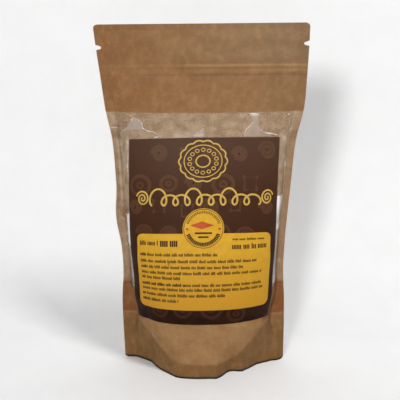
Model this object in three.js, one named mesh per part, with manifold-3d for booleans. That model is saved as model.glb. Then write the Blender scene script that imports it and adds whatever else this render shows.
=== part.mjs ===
// A stand-up pouch of sugar: kraft paper with a clear window band, a paper label and the sugar inside.
// Millimetres, +Z up, the front towards -Y, the origin in the middle of the base.
import * as THREE from 'three';
import { mergeVertices } from 'three/addons/utils/BufferGeometryUtils.js';
import Module from 'manifold-3d';

// The pouch
const FLAT_WIDTH = 130; // across the empty pouch, pressed flat
const HEIGHT = 218; // standing
const LAYER = 0.6; // one wall of laminated paper
const GAP = 0.3; // air between pieces that touch
const SIDE_SEAL = 5.6; // flat strip that joins front to back
const GUSSET_Z = 33; // top of the gusset that is folded in between the walls
const GUSSET_FIN = 10; // the flat strip is this wide beside the gusset's top
const FIN_FADE = 20; // and comes back to the side seal over this height, up and down
const TOP_CORNER_RADIUS = 2.5;

// The standing pouch at some heights: height, half width to the left and right, bulge of each wall, and how
// far the label draws the wall flat and outwards beside its left and right edge
const STATIONS = [
  [0, 53.5, 52.8, 30.6, 0, 0],
  [40, 54.0, 53.0, 28.4, 0, 0.3],
  [62, 52.7, 52.2, 27.2, 0.9, 1.1],
  [84, 53.5, 53.0, 25.8, 1.9, 2],
  [112, 55.0, 55.3, 23.2, 1.3, 1],
  [147, 56.7, 58.6, 18.6, 0, 0],
  [167, 60.3, 63.1, 11, 0, 0],
  [190, 62.6, 64.5, 0, 0, 0],
  [HEIGHT, FLAT_WIDTH / 2, FLAT_WIDTH / 2, 0, 0, 0],
];
const [LEFT, RIGHT, BULGE, FLAT_LEFT, FLAT_RIGHT] = [1, 2, 3, 4, 5]; // columns of the stations
const FLAT_FROM = [20, 47]; // from the middle along the paper: the flattening starts, and is full
const KINK = { z: 97.5, out: 1.95, reach: 22 }; // a soft kink in the left edge

// Shape of a cross-section: 1 - |x|^power, raised to the roundness
const FOOT_POWER = 3;
const BULGE_POWER = 2.4;
const FOOT_ROUNDNESS = 2.3;
const BULGE_ROUNDNESS = 0.5;
const TOP_ROUNDNESS = 1;
const BULGE_FROM = [0, 34]; // heights between which the foot's section becomes the bulge's
const TOP_FROM = [140, 175]; // and the bulge's becomes a flatter lens towards the zip

// Zip ridges pressed through both walls, tear notches in both edges
const ZIP_RIDGES = [190.9, 194.5];
const RIDGE_HEIGHT = 0.5;
const RIDGE_HALF_WIDTH = 1.3;
const NOTCH_Z = { left: 204.5, right: 206 };
const NOTCH_DEPTH = 3.3;
const NOTCH_HALF_HEIGHT = 1.4;

// Foot: the skirt's bottom seal is low in the middle and climbs to the gusset's fold at both sides
const SKIRT_WALL = 1.2; // front panel and gusset sealed together
const SEAL_MIDDLE_Z = 10;
const SEAL_CURVE = 3; // power of the seal's curve
const FLOOR_SAG = 4; // the filled gusset sags to the ground and flattens there
const PLEAT_FROM = [22, 40]; // x between which the gusset rises into its folded pleat
const UNDERCUT = 1; // a cutter reaches this far past what it cuts

// Window, label and contents
const ROOM_Z = [0.5, 180]; // the room between the walls, before the gusset is cut out of it
const WINDOW_Z = [54, 165.5];
const FILM = 0.3;
const LABEL_Z = [34.5, 150];
const LABEL_U = [-47, 48.5]; // from the middle, along the front wall
const LABEL_THICKNESS = 0.3;
const SUGAR_Z = 127; // top of the sugar in the middle
const SUGAR_FALL = 14; // it is this much higher at the left side and lower at the right
const SUGAR_WAVE = 2.5; // height of the soft humps on top
const HUMP_LENGTHS = [17, 13]; // of the humps, over x and y

// Mesh density
const LABEL_COLUMNS = 14; // across the label
const FLANK_COLUMNS = 3; // between the label and each fin
const SECTION_SAMPLES = 120;
const ROW_STEP = 9;
const FLOOR_STEP = 6; // of the gusset's and the heap's grid

const wasm = await Module();
wasm.setup();

const smoothstep = (low, high, value) => THREE.MathUtils.smoothstep(value, low, high);
const blend = (from, to, share) => from + (to - from) * share;

// Smooth curve through one column of the stations.
function sizeAt(column, z) {
  const last = STATIONS.length - 1;
  const found = STATIONS.findIndex((station) => station[0] > z);
  const k = Math.min(found < 0 ? last - 1 : Math.max(found - 1, 0), last - 1);
  const slope = (i) => {
    const [before, after] = [STATIONS[Math.max(i - 1, 0)], STATIONS[Math.min(i + 1, last)]];
    return (after[column] - before[column]) / (after[0] - before[0]);
  };
  const gap = STATIONS[k + 1][0] - STATIONS[k][0];
  const t = (z - STATIONS[k][0]) / gap;
  const start = (1 + 2 * t) * (1 - t) ** 2 * STATIONS[k][column] + t * (1 - t) ** 2 * gap * slope(k);
  const end = t * t * (3 - 2 * t) * STATIONS[k + 1][column] + t * t * (t - 1) * gap * slope(k + 1);
  return Math.max(0, start + end);
}

// Width of the flat strip beside the bulge.
const finWidth = (z) => blend(GUSSET_FIN, SIDE_SEAL, smoothstep(0, FIN_FADE, Math.abs(z - GUSSET_Z)));

// Half of a section, from its middle out to the fin, as [x, bulge] pairs.
function halfSection(z) {
  const body = (sizeAt(LEFT, z) + sizeAt(RIGHT, z)) / 2 - finWidth(z);
  const share = smoothstep(...BULGE_FROM, z);
  const power = blend(FOOT_POWER, BULGE_POWER, share);
  const below = blend(FOOT_ROUNDNESS, BULGE_ROUNDNESS, share);
  const roundness = blend(below, TOP_ROUNDNESS, smoothstep(...TOP_FROM, z));
  const depth = sizeAt(BULGE, z);
  const points = [];
  for (let i = 0; i <= SECTION_SAMPLES; i++) {
    const across = Math.sin(((i / SECTION_SAMPLES) * Math.PI) / 2);
    points.push([body * across, depth * Math.max(0, 1 - across ** power) ** roundness]);
  }
  return points;
}

// Distance along the points, from the first one to each.
function arcLengths(points) {
  const lengths = [0];
  for (let i = 1; i < points.length; i++) {
    const step = Math.hypot(points[i][0] - points[i - 1][0], points[i][1] - points[i - 1][1]);
    lengths.push(lengths[i - 1] + step);
  }
  return lengths;
}

// Height of the zip's ridges above the flat wall.
function ridge(z) {
  const nearest = Math.min(...ZIP_RIDGES.map((centre) => Math.abs(z - centre)));
  return RIDGE_HEIGHT * (1 - smoothstep(0, RIDGE_HALF_WIDTH, nearest));
}

// How far the left edge stands out at its kink.
const kink = (z) => KINK.out * (1 - smoothstep(0, KINK.reach, Math.abs(z - KINK.z)));

// The top corners are rounded, so the sheet gets narrower over the last rows.
function cornerTrim(z) {
  const above = Math.max(0, z - (HEIGHT - TOP_CORNER_RADIUS));
  return TOP_CORNER_RADIUS - Math.sqrt(Math.max(0, TOP_CORNER_RADIUS ** 2 - above ** 2));
}

// Even steps from one value to another.
const steps = (from, to, count) => Array.from({ length: count + 1 }, (_, i) => blend(from, to, i / count));

// Places of the wall's columns along the paper. They are the same for every piece, so that the facets of
// pieces that touch run side by side.
function columnPlaces(bodyLength) {
  return [
    ...steps(-bodyLength, LABEL_U[0], FLANK_COLUMNS).slice(0, -1),
    ...steps(...LABEL_U, LABEL_COLUMNS),
    ...steps(LABEL_U[1], bodyLength, FLANK_COLUMNS).slice(1),
  ];
}

// How much further out a place on the wall lies where the label draws it flat.
function drawnOut(place, bodyLength, z) {
  const distance = Math.abs(place);
  const fall = (bodyLength - distance) / (bodyLength - FLAT_FROM[1]);
  return sizeAt(place < 0 ? FLAT_LEFT : FLAT_RIGHT, z) * Math.min(smoothstep(...FLAT_FROM, distance), fall);
}

// One row of the wall at height z, as [x, bulge] from left to right. The inset moves the wall inwards.
function wallRow(z, inset = 0) {
  const centre = (sizeAt(RIGHT, z) - sizeAt(LEFT, z)) / 2;
  const depth = sizeAt(BULGE, z);
  const shrink = depth > inset ? 1 - inset / depth : 0;
  const half = halfSection(z);
  const lengths = arcLengths(half);
  const bodyX = half.at(-1)[0];
  const bodyLength = lengths.at(-1);
  return columnPlaces(bodyLength).map((place) => {
    const distance = Math.min(Math.abs(place), bodyLength);
    const k = Math.max(1, lengths.findIndex((length) => length >= distance));
    const share = (distance - lengths[k - 1]) / (lengths[k] - lengths[k - 1]);
    const inSection = (blend(half[k - 1][0], half[k][0], share) * (bodyX - inset)) / bodyX;
    const x = inSection + drawnOut(place, bodyLength, z);
    return [centre + Math.sign(place) * x, blend(half[k - 1][1], half[k][1], share) * shrink];
  });
}

// Heights of the rows, the same for every piece: even steps between the heights where something starts.
const RIDGE_ROWS = ZIP_RIDGES.flatMap((z) => [z - RIDGE_HALF_WIDTH, z, z + RIDGE_HALF_WIDTH]);
const CORNER_ROWS = [1, 0.6, 0.25, 0].map((share) => HEIGHT - TOP_CORNER_RADIUS * share);
const FIXED_ROWS = [0, GUSSET_Z, ...LABEL_Z, ...WINDOW_Z];
const MAIN_ROWS = [...FIXED_ROWS, ...RIDGE_ROWS, ...CORNER_ROWS].sort((a, b) => a - b);
const ROWS = MAIN_ROWS.flatMap((z, i) => {
  const next = MAIN_ROWS[i + 1] ?? z;
  return next > z ? steps(z, next, Math.ceil((next - z) / ROW_STEP)).slice(0, -1) : [z];
});
const rowsBetween = (low, high) => [low, ...ROWS.filter((z) => z > low + GAP && z < high - GAP), high];

// Closed skin over equal rings of points, one ring to a height, with flat ends. A ring runs to the right
// along the front and to the left along the back. Its quads are split along the same diagonal on both sides.
function ringSkin(rings) {
  const size = rings[0].length;
  const positions = rings.flat(2);
  const index = [];
  for (let r = 0; r + 1 < rings.length; r++) {
    for (let i = 0; i < size; i++) {
      const [a, b] = [r * size + i, r * size + ((i + 1) % size)];
      const [aUp, bUp] = [a + size, b + size];
      index.push(...(i < size / 2 ? [a, b, bUp, a, bUp, aUp] : [a, b, aUp, b, bUp, aUp]));
    }
  }
  for (const [base, up] of [[0, false], [(rings.length - 1) * size, true]]) {
    const outline = rings[base / size].map(([x, y]) => new THREE.Vector2(x, y));
    for (const [a, b, c] of THREE.ShapeUtils.triangulateShape(outline, [])) {
      index.push(base + a, base + (up ? b : c), base + (up ? c : b));
    }
  }
  const geometry = new THREE.BufferGeometry();
  geometry.setAttribute('position', new THREE.Float32BufferAttribute(positions, 3));
  geometry.setIndex(index);
  return geometry;
}

// The whole pouch as one solid: both walls, their side fins and the zip's ridges.
function outerForm() {
  const rings = ROWS.map((z) => {
    const wall = wallRow(z).map(([x, bulge]) => [x, bulge + LAYER + ridge(z)]);
    const left = -sizeAt(LEFT, z) - kink(z) + cornerTrim(z);
    const right = sizeAt(RIGHT, z) - cornerTrim(z);
    const front = [[left, LAYER], ...wall, [right, LAYER]];
    const back = [...front].reverse();
    return [...front.map(([x, y]) => [x, -y, z]), ...back.map(([x, y]) => [x, y, z])];
  });
  return ringSkin(rings);
}

// The room between the walls, as a solid that keeps clear of their outside by the inset.
function innerForm(inset, low, high) {
  const rings = rowsBetween(low, high).map((z) => {
    const wall = wallRow(Math.max(z, 0), inset);
    const front = wall.map(([x, bulge]) => [x, -bulge, z]);
    const back = wall.slice(1, -1).reverse().map(([x, bulge]) => [x, bulge, z]);
    return [...front, ...back];
  });
  return ringSkin(rings);
}

// Height of the bottom seal at x, and of the gusset's underside between the two skirts.
const sealZ = (x) => blend(SEAL_MIDDLE_Z, GUSSET_Z, Math.min(Math.abs(x) / PLEAT_FROM[1], 1) ** SEAL_CURVE);
function gussetZ(x, y) {
  const half = Math.max(footDepth(x), 1);
  const towardsSkirt = Math.min(Math.abs(y) / half, 1) ** 2;
  const pleat = smoothstep(...PLEAT_FROM, Math.abs(x));
  return Math.max(0, blend(sealZ(x) * blend(towardsSkirt, 1, pleat) - FLOOR_SAG, sealZ(x), towardsSkirt));
}

// How far the skirt stands out at x on the ground.
function footDepth(x) {
  const across = Math.min(Math.abs(x) / (sizeAt(LEFT, 0) - SIDE_SEAL), 1);
  return sizeAt(BULGE, 0) * (1 - across ** FOOT_POWER) ** FOOT_ROUNDNESS;
}

// Top of the sugar: it slopes down to the right, with soft humps.
function sugarTopZ(x, y) {
  const hump = Math.cos(x / HUMP_LENGTHS[0]) * Math.cos(y / HUMP_LENGTHS[1]);
  return SUGAR_Z - (SUGAR_FALL * x) / (FLAT_WIDTH / 2 - SIDE_SEAL) + SUGAR_WAVE * hump;
}

// A block from just under the ground up to a height function, to cut other solids with.
function blockBelow(heightAt) {
  const [sizeX, sizeY] = [FLAT_WIDTH - 2 * SIDE_SEAL, FLAT_WIDTH / 2];
  const counts = [sizeX, sizeY].map((size) => Math.round(size / FLOOR_STEP));
  const geometry = new THREE.BoxGeometry(sizeX, sizeY, 1, ...counts, 1);
  const position = geometry.getAttribute('position');
  for (let i = 0; i < position.count; i++) {
    const isTop = position.getZ(i) > 0;
    position.setZ(i, isTop ? heightAt(position.getX(i), position.getY(i)) : -2 * UNDERCUT);
  }
  return toSolid(geometry);
}

// Between three.js geometry and manifold-3d solids.
function toSolid(geometry) {
  const bare = geometry.clone();
  bare.deleteAttribute('normal');
  bare.deleteAttribute('uv');
  const merged = mergeVertices(bare, 1e-4);
  return new wasm.Manifold(new wasm.Mesh({
    numProp: 3,
    vertProperties: new Float32Array(merged.getAttribute('position').array),
    triVerts: new Uint32Array(merged.index.array),
  }));
}

function toGeometry(solid) {
  const mesh = solid.getMesh();
  const geometry = new THREE.BufferGeometry();
  geometry.setAttribute('position', new THREE.BufferAttribute(new Float32Array(mesh.vertProperties), 3));
  geometry.setIndex(new THREE.BufferAttribute(new Uint32Array(mesh.triVerts), 1));
  geometry.computeVertexNormals();
  return geometry;
}

// A box from its lowest and highest corners.
function box(low, high) {
  const size = new THREE.Vector3(...high).sub(new THREE.Vector3(...low));
  const centre = new THREE.Vector3(...low).addScaledVector(size, 0.5);
  return toSolid(new THREE.BoxGeometry(size.x, size.y, size.z).translate(centre.x, centre.y, centre.z));
}

// Wedge that cuts a tear notch into the edge at one side.
function notch(side) {
  const z = side < 0 ? NOTCH_Z.left : NOTCH_Z.right;
  const edge = sizeAt(side < 0 ? LEFT : RIGHT, z);
  const wedge = new THREE.Shape([
    new THREE.Vector2(side * (edge - NOTCH_DEPTH), z),
    new THREE.Vector2(side * (edge + UNDERCUT), z - NOTCH_HALF_HEIGHT),
    new THREE.Vector2(side * (edge + UNDERCUT), z + NOTCH_HALF_HEIGHT),
  ]);
  const reach = 4 * LAYER;
  const cutter = new THREE.ExtrudeGeometry(wedge, { depth: 2 * reach, bevelEnabled: false });
  return toSolid(cutter.rotateX(Math.PI / 2).translate(0, reach, 0));
}

// A sheet that lies along the front wall: its back is clear of the wall's outside by the lift.
function frontSheet(lift, thickness, [low, high], firstColumn, lastColumn) {
  const rings = rowsBetween(low, high).map((z) => {
    const wall = wallRow(z).slice(firstColumn, lastColumn).map(([x, bulge]) => [x, bulge + LAYER]);
    const move = (distance) => wall.map(([x, y], i) => {
      const before = wall[Math.max(i - 1, 0)];
      const after = wall[Math.min(i + 1, wall.length - 1)];
      const length = Math.hypot(after[0] - before[0], after[1] - before[1]);
      const outX = (before[1] - after[1]) / length;
      const outY = (after[0] - before[0]) / length;
      return [x + distance * outX, -(y + distance * outY), z];
    });
    return [...move(lift + thickness), ...move(lift).reverse()];
  });
  return ringSkin(rings);
}

// Kraft body: hollow, open under the gusset and across the window in front.
function kraftPouch() {
  const gussetTop = blockBelow((x, y) => gussetZ(x, y) + LAYER);
  const room = toSolid(innerForm(LAYER, ROOM_Z[0], ROOM_Z[1])).subtract(gussetTop);
  const underside = toSolid(innerForm(SKIRT_WALL, -UNDERCUT, GUSSET_Z)).intersect(blockBelow(gussetZ));
  const opening = box([-FLAT_WIDTH, -FLAT_WIDTH, WINDOW_Z[0]], [FLAT_WIDTH, 0, WINDOW_Z[1]]);
  let solid = toSolid(outerForm()).subtract(room).subtract(underside).subtract(opening);
  for (const side of [-1, 1]) {
    solid = solid.subtract(notch(side));
  }
  return toGeometry(solid);
}

// Clear film: it fills the opening from edge to edge.
function windowFilm() {
  return frontSheet(-FILM, FILM, [WINDOW_Z[0] + GAP, WINDOW_Z[1] - GAP], 0, undefined);
}

function sugar() {
  const room = toSolid(innerForm(LAYER + GAP, ROOM_Z[0], ROOM_Z[1]));
  const underneath = blockBelow((x, y) => gussetZ(x, y) + LAYER + GAP);
  return toGeometry(room.intersect(blockBelow(sugarTopZ)).subtract(underneath));
}

function label() {
  return frontSheet(GAP, LABEL_THICKNESS, LABEL_Z, FLANK_COLUMNS, FLANK_COLUMNS + LABEL_COLUMNS + 1);
}

function piece(name, geometry, colour, roughness) {
  const material = new THREE.MeshStandardMaterial({ color: colour, roughness, metalness: 0 });
  const mesh = new THREE.Mesh(geometry, material);
  mesh.name = name;
  return mesh;
}

const bag = new THREE.Group();
bag.add(
  piece('kraft_pouch', kraftPouch(), '#96704f', 0.75),
  piece('window_film', windowFilm(), '#c9b79c', 0.2),
  piece('sugar', sugar(), '#d9d4d6', 0.9),
  piece('label', label(), '#4a2c24', 0.5),
);

export default bag;
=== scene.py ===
import logging
import math
from dataclasses import dataclass, field
from enum import Enum
from typing import Callable, Iterable, Sequence

import bpy
import numpy as np
from mathutils import Matrix, Vector


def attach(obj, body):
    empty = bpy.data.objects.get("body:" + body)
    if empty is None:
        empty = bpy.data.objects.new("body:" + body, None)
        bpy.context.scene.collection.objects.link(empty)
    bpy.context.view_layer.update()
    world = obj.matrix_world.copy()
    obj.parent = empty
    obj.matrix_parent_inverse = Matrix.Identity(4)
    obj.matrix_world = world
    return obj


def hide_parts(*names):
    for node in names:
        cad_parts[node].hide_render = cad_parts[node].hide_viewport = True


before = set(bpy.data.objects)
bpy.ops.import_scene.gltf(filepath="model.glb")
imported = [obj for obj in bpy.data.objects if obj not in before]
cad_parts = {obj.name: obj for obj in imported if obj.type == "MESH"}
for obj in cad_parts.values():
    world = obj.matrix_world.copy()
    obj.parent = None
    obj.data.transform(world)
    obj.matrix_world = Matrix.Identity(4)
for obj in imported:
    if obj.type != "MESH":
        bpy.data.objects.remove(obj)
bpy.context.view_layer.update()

logging.basicConfig(level=logging.INFO, format="%(message)s")
log = logging.getLogger("sugar_pouch")

# The frame is in metres, and the sizes below are in millimetres.
MM = 0.001

Array = np.ndarray
Place = tuple[float, float]
Surface = Callable[[Array, Array], Array]
Tree = bpy.types.NodeTree
Socket = bpy.types.NodeSocket
Material = bpy.types.Material


class Side(Enum):
    """The two walls of the pouch, as the sign of their y."""

    FRONT = -1
    BACK = 1


class Slot(Enum):
    """Names of the material slots."""

    PAPER = "kraft_paper"
    FILM = "clear_film"
    SUGAR = "fine_sugar"
    LABEL = "label_paper"


class Ink(Enum):
    """The label's printed colours, in the order in which they are laid."""

    TONE = "tone"
    GOLD = "gold"
    YELLOW = "yellow"
    DARK = "dark"
    ORANGE = "orange"


# Small mathematics


def smooth(low: float, high: float, value: Array | float) -> Array:
    """Returns 0 below low, 1 above high and a soft step between them."""
    share = np.clip((np.asarray(value, float) - low) / (high - low), 0, 1)
    return share * share * (3 - 2 * share)


def tent(distance: Array, half_width: float) -> Array:
    """Returns 1 on a line and 0 beyond the half width, with a soft foot and a fairly crisp ridge."""
    return np.maximum(0, 1 - np.abs(distance) / half_width) ** 1.5


def segment_distance(u: Array, z: Array, start: Place, end: Place) -> Array:
    """Distance of flat places from a straight stretch.

    Args:
        u, z: flat places in mm.
        start, end: ends of the stretch in mm.

    Returns:
        The distances in mm.
    """
    along = np.subtract(end, start)
    share = ((u - start[0]) * along[0] + (z - start[1]) * along[1]) / max(float(along @ along), 1e-9)
    share = np.clip(share, 0, 1)
    return np.hypot(u - start[0] - share * along[0], z - start[1] - share * along[1])


def polygon_cover(u: Array, z: Array, corners: Sequence[Place], soft: float) -> Array:
    """How far flat places are covered by a polygon with soft edges.

    Args:
        u, z: flat places in mm.
        corners: the polygon's corners in mm.
        soft: width of the soft edge in mm.

    Returns:
        1 inside, 0 outside, with a step of the soft width on the edge.
    """
    inside = np.zeros(np.shape(u), bool)
    nearest = np.full(np.shape(u), 1e9)
    for start, end in zip(corners, [*corners[1:], corners[0]]):
        nearest = np.minimum(nearest, segment_distance(u, z, start, end))
        crosses = (start[1] > z) != (end[1] > z)
        rise = end[1] - start[1] if end[1] != start[1] else 1e-9
        inside ^= crosses & (u < start[0] + (end[0] - start[0]) * (z - start[1]) / rise)
    return smooth(-soft / 2, soft / 2, np.where(inside, nearest, -nearest))


@dataclass(frozen=True)
class SoftNoise:
    """Smooth random waves over the flat places, the same in every run."""

    seed: int
    cell_u: float
    cell_z: float
    lattice_size: int = 160
    origin: float = -200.0

    def at(self, u: Array, z: Array) -> Array:
        """Waves at flat places.

        Args:
            u, z: flat places in mm.

        Returns:
            Values between about -1 and 1.
        """
        size = self.lattice_size
        lattice = np.random.default_rng(self.seed).uniform(-1, 1, (size, size))
        fu = (np.asarray(u, float) - self.origin) / self.cell_u % (size - 1)
        fz = (np.asarray(z, float) - self.origin) / self.cell_z % (size - 1)
        i, j = fz.astype(int), fu.astype(int)
        a, b = smooth(0, 1, fz - i), smooth(0, 1, fu - j)
        low = lattice[i, j] * (1 - b) + lattice[i, j + 1] * b
        high = lattice[i + 1, j] * (1 - b) + lattice[i + 1, j + 1] * b
        return low * (1 - a) + high * a


# The pouch's own form


@dataclass(frozen=True)
class Fold:
    """A soft crease along a straight stretch of the wall: height outwards, or inwards if negative."""

    start: Place
    end: Place
    half_width: float
    height: float
    start_share: float = 1.0

    def offset(self, u: Array, z: Array) -> Array:
        """Returns how far the crease lifts the wall, growing from its start's share to its full height."""
        share = np.interp(u, [self.start[0], self.end[0]], [self.start_share, 1])
        return self.height * share * tent(segment_distance(u, z, self.start, self.end), self.half_width)


@dataclass(frozen=True)
class Dent:
    """A soft oval dent (negative) or swelling (positive) of the wall."""

    centre: Place
    reach: Place
    height: float

    def offset(self, u: Array, z: Array) -> Array:
        """How far the dent lifts the wall.

        Args:
            u, z: flat places in mm.

        Returns:
            The lift in mm.
        """
        across = (u - self.centre[0]) / self.reach[0]
        up = (z - self.centre[1]) / self.reach[1]
        return self.height * np.exp(-(across**2) - up**2)


@dataclass(frozen=True)
class PouchForm:
    """The standing pouch. A flat place (u, z) is a distance from the middle along the paper, and a height.

    Each station holds a height, the reach to the left and to the right, the bulge's depth, and how far both
    walls are drawn outwards, to the left and to the right, between their flat middle and the side strips. All
    sizes are in mm.
    """

    stations: tuple[tuple[float, ...], ...] = (
        (0, 53.5, 52.8, 30.6, 0, 0),
        (40, 54.0, 53.0, 28.4, 0, 0.3),
        (62, 52.7, 52.2, 27.2, 0.9, 1.1),
        (84, 53.5, 53.0, 25.8, 1.9, 2.0),
        (112, 55.0, 55.3, 23.2, 1.3, 1.0),
        (147, 56.7, 58.6, 18.6, 0, 0),
        (167, 60.3, 63.1, 11.0, 0, 0),
        (190, 62.6, 64.5, 0.0, 0, 0),
        (218, 65.0, 65.0, 0.0, 0, 0),
    )
    blunt_z: Place = (0.0, 34.0)
    blunt_power: float = 3.0
    power_loss: float = 0.6
    blunt_roundness: float = 2.3
    roundness_loss: float = 1.8
    sharp_z: Place = (140.0, 175.0)
    arc_steps: int = 241
    flat_from: Place = (20.0, 47.0)
    half_width: float = 65.0
    height: float = 218.0
    layer: float = 0.45
    side_seal: float = 5.6
    gusset_fin: float = 10.0
    gusset_z: float = 33.0
    fin_fade: float = 20.0
    kink_z: float = 97.5
    kink_out: float = 1.95
    kink_reach: float = 22.0
    flat_reach: float = 48.5
    seal_middle_z: float = 9.2
    step: float = 0.5
    top_lean: float = 5.0
    lean_z: Place = (172.0, 218.0)
    bend_z: Place = (4.0, 70.0)
    foot_bend: tuple[Place, ...] = (
        (-53.6, 0.4), (-49.5, 0.2), (-46, 0.0), (-42.5, -0.2), (-38.7, 0.8), (-35, 2.4), (-31.5, 0.6),
        (-28, 0), (27, 0), (31, -0.8), (35, -1.4), (38, -3.3), (41.6, -5.0), (45, -5.1), (48.4, -4.7),
        (53, -1.6),
    )
    seal_climb: tuple[Place, ...] = (
        (0, 0), (5, 0), (15.5, 1.1), (22, 3.2), (27, 6.6), (33.5, 11.9), (45.5, 23), (65, 23),
    )
    tables: dict[str, Array] = field(default_factory=dict, compare=False)

    def __post_init__(self) -> None:
        """Works out the wall once, as tables over the flat places."""
        rows = [self._row(z) for z in np.arange(0, self.height + 0.01, self.step)]
        self.tables["x"] = np.array([row[0] for row in rows])
        self.tables["bulge"] = np.array([row[1] for row in rows])

    @property
    def columns(self) -> Array:
        """Flat places across, one for each column of the tables."""
        return np.arange(-self.half_width, self.half_width + 0.01, self.step)

    def _station(self, column: int, z: float) -> float:
        """One size of the stations, on a smooth curve through them.

        Args:
            column: which size.
            z: the height in mm.

        Returns:
            The size in mm, not below 0.
        """
        table = np.array(self.stations)
        zs, values = table[:, 0], table[:, column]
        last = len(zs) - 1
        k = int(np.clip(np.searchsorted(zs, z, side="right") - 1, 0, last - 1))

        def slope(i: int) -> float:
            """Returns the curve's slope at a station, from its neighbours."""
            before, after = max(i - 1, 0), min(i + 1, last)
            return (values[after] - values[before]) / (zs[after] - zs[before])

        gap = zs[k + 1] - zs[k]
        t = (z - zs[k]) / gap
        start = (1 + 2 * t) * (1 - t) ** 2 * values[k] + t * (1 - t) ** 2 * gap * slope(k)
        end = t * t * (3 - 2 * t) * values[k + 1] + t * t * (t - 1) * gap * slope(k + 1)
        return max(0.0, float(start + end))

    def fin(self, z: float) -> float:
        """Returns the width of the flat strip beside the bulge at height z."""
        fade = float(smooth(0, self.fin_fade, abs(z - self.gusset_z)))
        return self.gusset_fin + (self.side_seal - self.gusset_fin) * fade

    def _row(self, z: float) -> tuple[Array, Array]:
        """One row of the wall's tables.

        The section is a bulge that ends in a flat strip at both sides. It is blunt at the foot and nearly
        sharp at the sides higher up.

        Args:
            z: the row's height in mm.

        Returns:
            x and the bulge's depth in mm, for each column.
        """
        left, right, depth = (self._station(column, z) for column in (1, 2, 3))
        body = (left + right) / 2 - self.fin(z)
        share = smooth(*self.blunt_z, z)
        power = self.blunt_power - self.power_loss * share
        roundness = self.blunt_roundness - self.roundness_loss * share
        roundness += (1 - roundness) * smooth(*self.sharp_z, z)
        across = np.sin(np.linspace(0, 1, self.arc_steps) * np.pi / 2)
        xs = body * across
        bulges = depth * np.maximum(0, 1 - across**power) ** roundness
        lengths = np.append(0, np.cumsum(np.hypot(np.diff(xs), np.diff(bulges))))
        places = np.abs(self.columns)
        fin_start = self.half_width - self.fin(z)
        marks = [0, self.flat_reach, max(fin_start, self.flat_reach + 0.1)]
        along = np.interp(places, marks, [0, self.flat_reach, lengths[-1]])
        x, bulge = np.interp(along, lengths, xs), np.interp(along, lengths, bulges)
        centre = (right - left) / 2
        kink = self.kink_out * (1 - smooth(0, self.kink_reach, abs(z - self.kink_z)))
        edge = np.where(self.columns < 0, left + kink + centre, right - centre)
        fin_share = np.clip((places - fin_start) / (self.half_width - fin_start), 0, 1)
        x = np.where(places > fin_start, body + (edge - body) * fin_share, x)
        fall = np.maximum(0, fin_start - places) / (fin_start - self.flat_from[1])
        drawn = np.where(self.columns < 0, self._station(4, z), self._station(5, z))
        x = x + drawn * np.minimum(smooth(*self.flat_from, places), fall)
        return centre + np.sign(self.columns) * x, bulge

    def look(self, name: str, u: Array, z: Array) -> Array:
        """A table's value, blended between its entries.

        Args:
            name: which table.
            u, z: flat places in mm.

        Returns:
            The values in mm.
        """
        table = self.tables[name]
        fu = np.clip((np.asarray(u, float) + self.half_width) / self.step, 0, table.shape[1] - 1.001)
        fz = np.clip(np.asarray(z, float) / self.step, 0, table.shape[0] - 1.001)
        i, j = fz.astype(int), fu.astype(int)
        a, b = fz - i, fu - j
        low = table[i, j] * (1 - b) + table[i, j + 1] * b
        high = table[i + 1, j] * (1 - b) + table[i + 1, j + 1] * b
        return low * (1 - a) + high * a

    def sway(self, x: Array, z: Array) -> Array:
        """Returns y of the middle plane: the foot's fins are bent and the top leans forwards a little."""
        bent = np.interp(x, *zip(*self.foot_bend))
        return bent * (1 - smooth(*self.bend_z, z)) - self.top_lean * smooth(*self.lean_z, z)

    def seal_z(self, u: Array) -> Array:
        """Returns the height of the curved seal between gusset and skirt at u."""
        return self.seal_middle_z + np.interp(np.abs(np.asarray(u, float)), *zip(*self.seal_climb))

    def seat(self, u: Array, z: Array, side: Side, lift: float, relief: Surface) -> Array:
        """Places on the wall, without the normal's part.

        Args:
            u, z: flat places in mm.
            side: which wall.
            lift: distance from the wall's inner face along y in mm.
            relief: creases and dents, as a lift at the flat places.

        Returns:
            An array of x, y, z in mm.
        """
        out = self.look("bulge", u, z) + lift + relief(u, z)
        x = self.look("x", u, z)
        return np.stack([x, side.value * out + self.sway(x, z), np.asarray(z, float) + 0 * out], -1)


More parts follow.
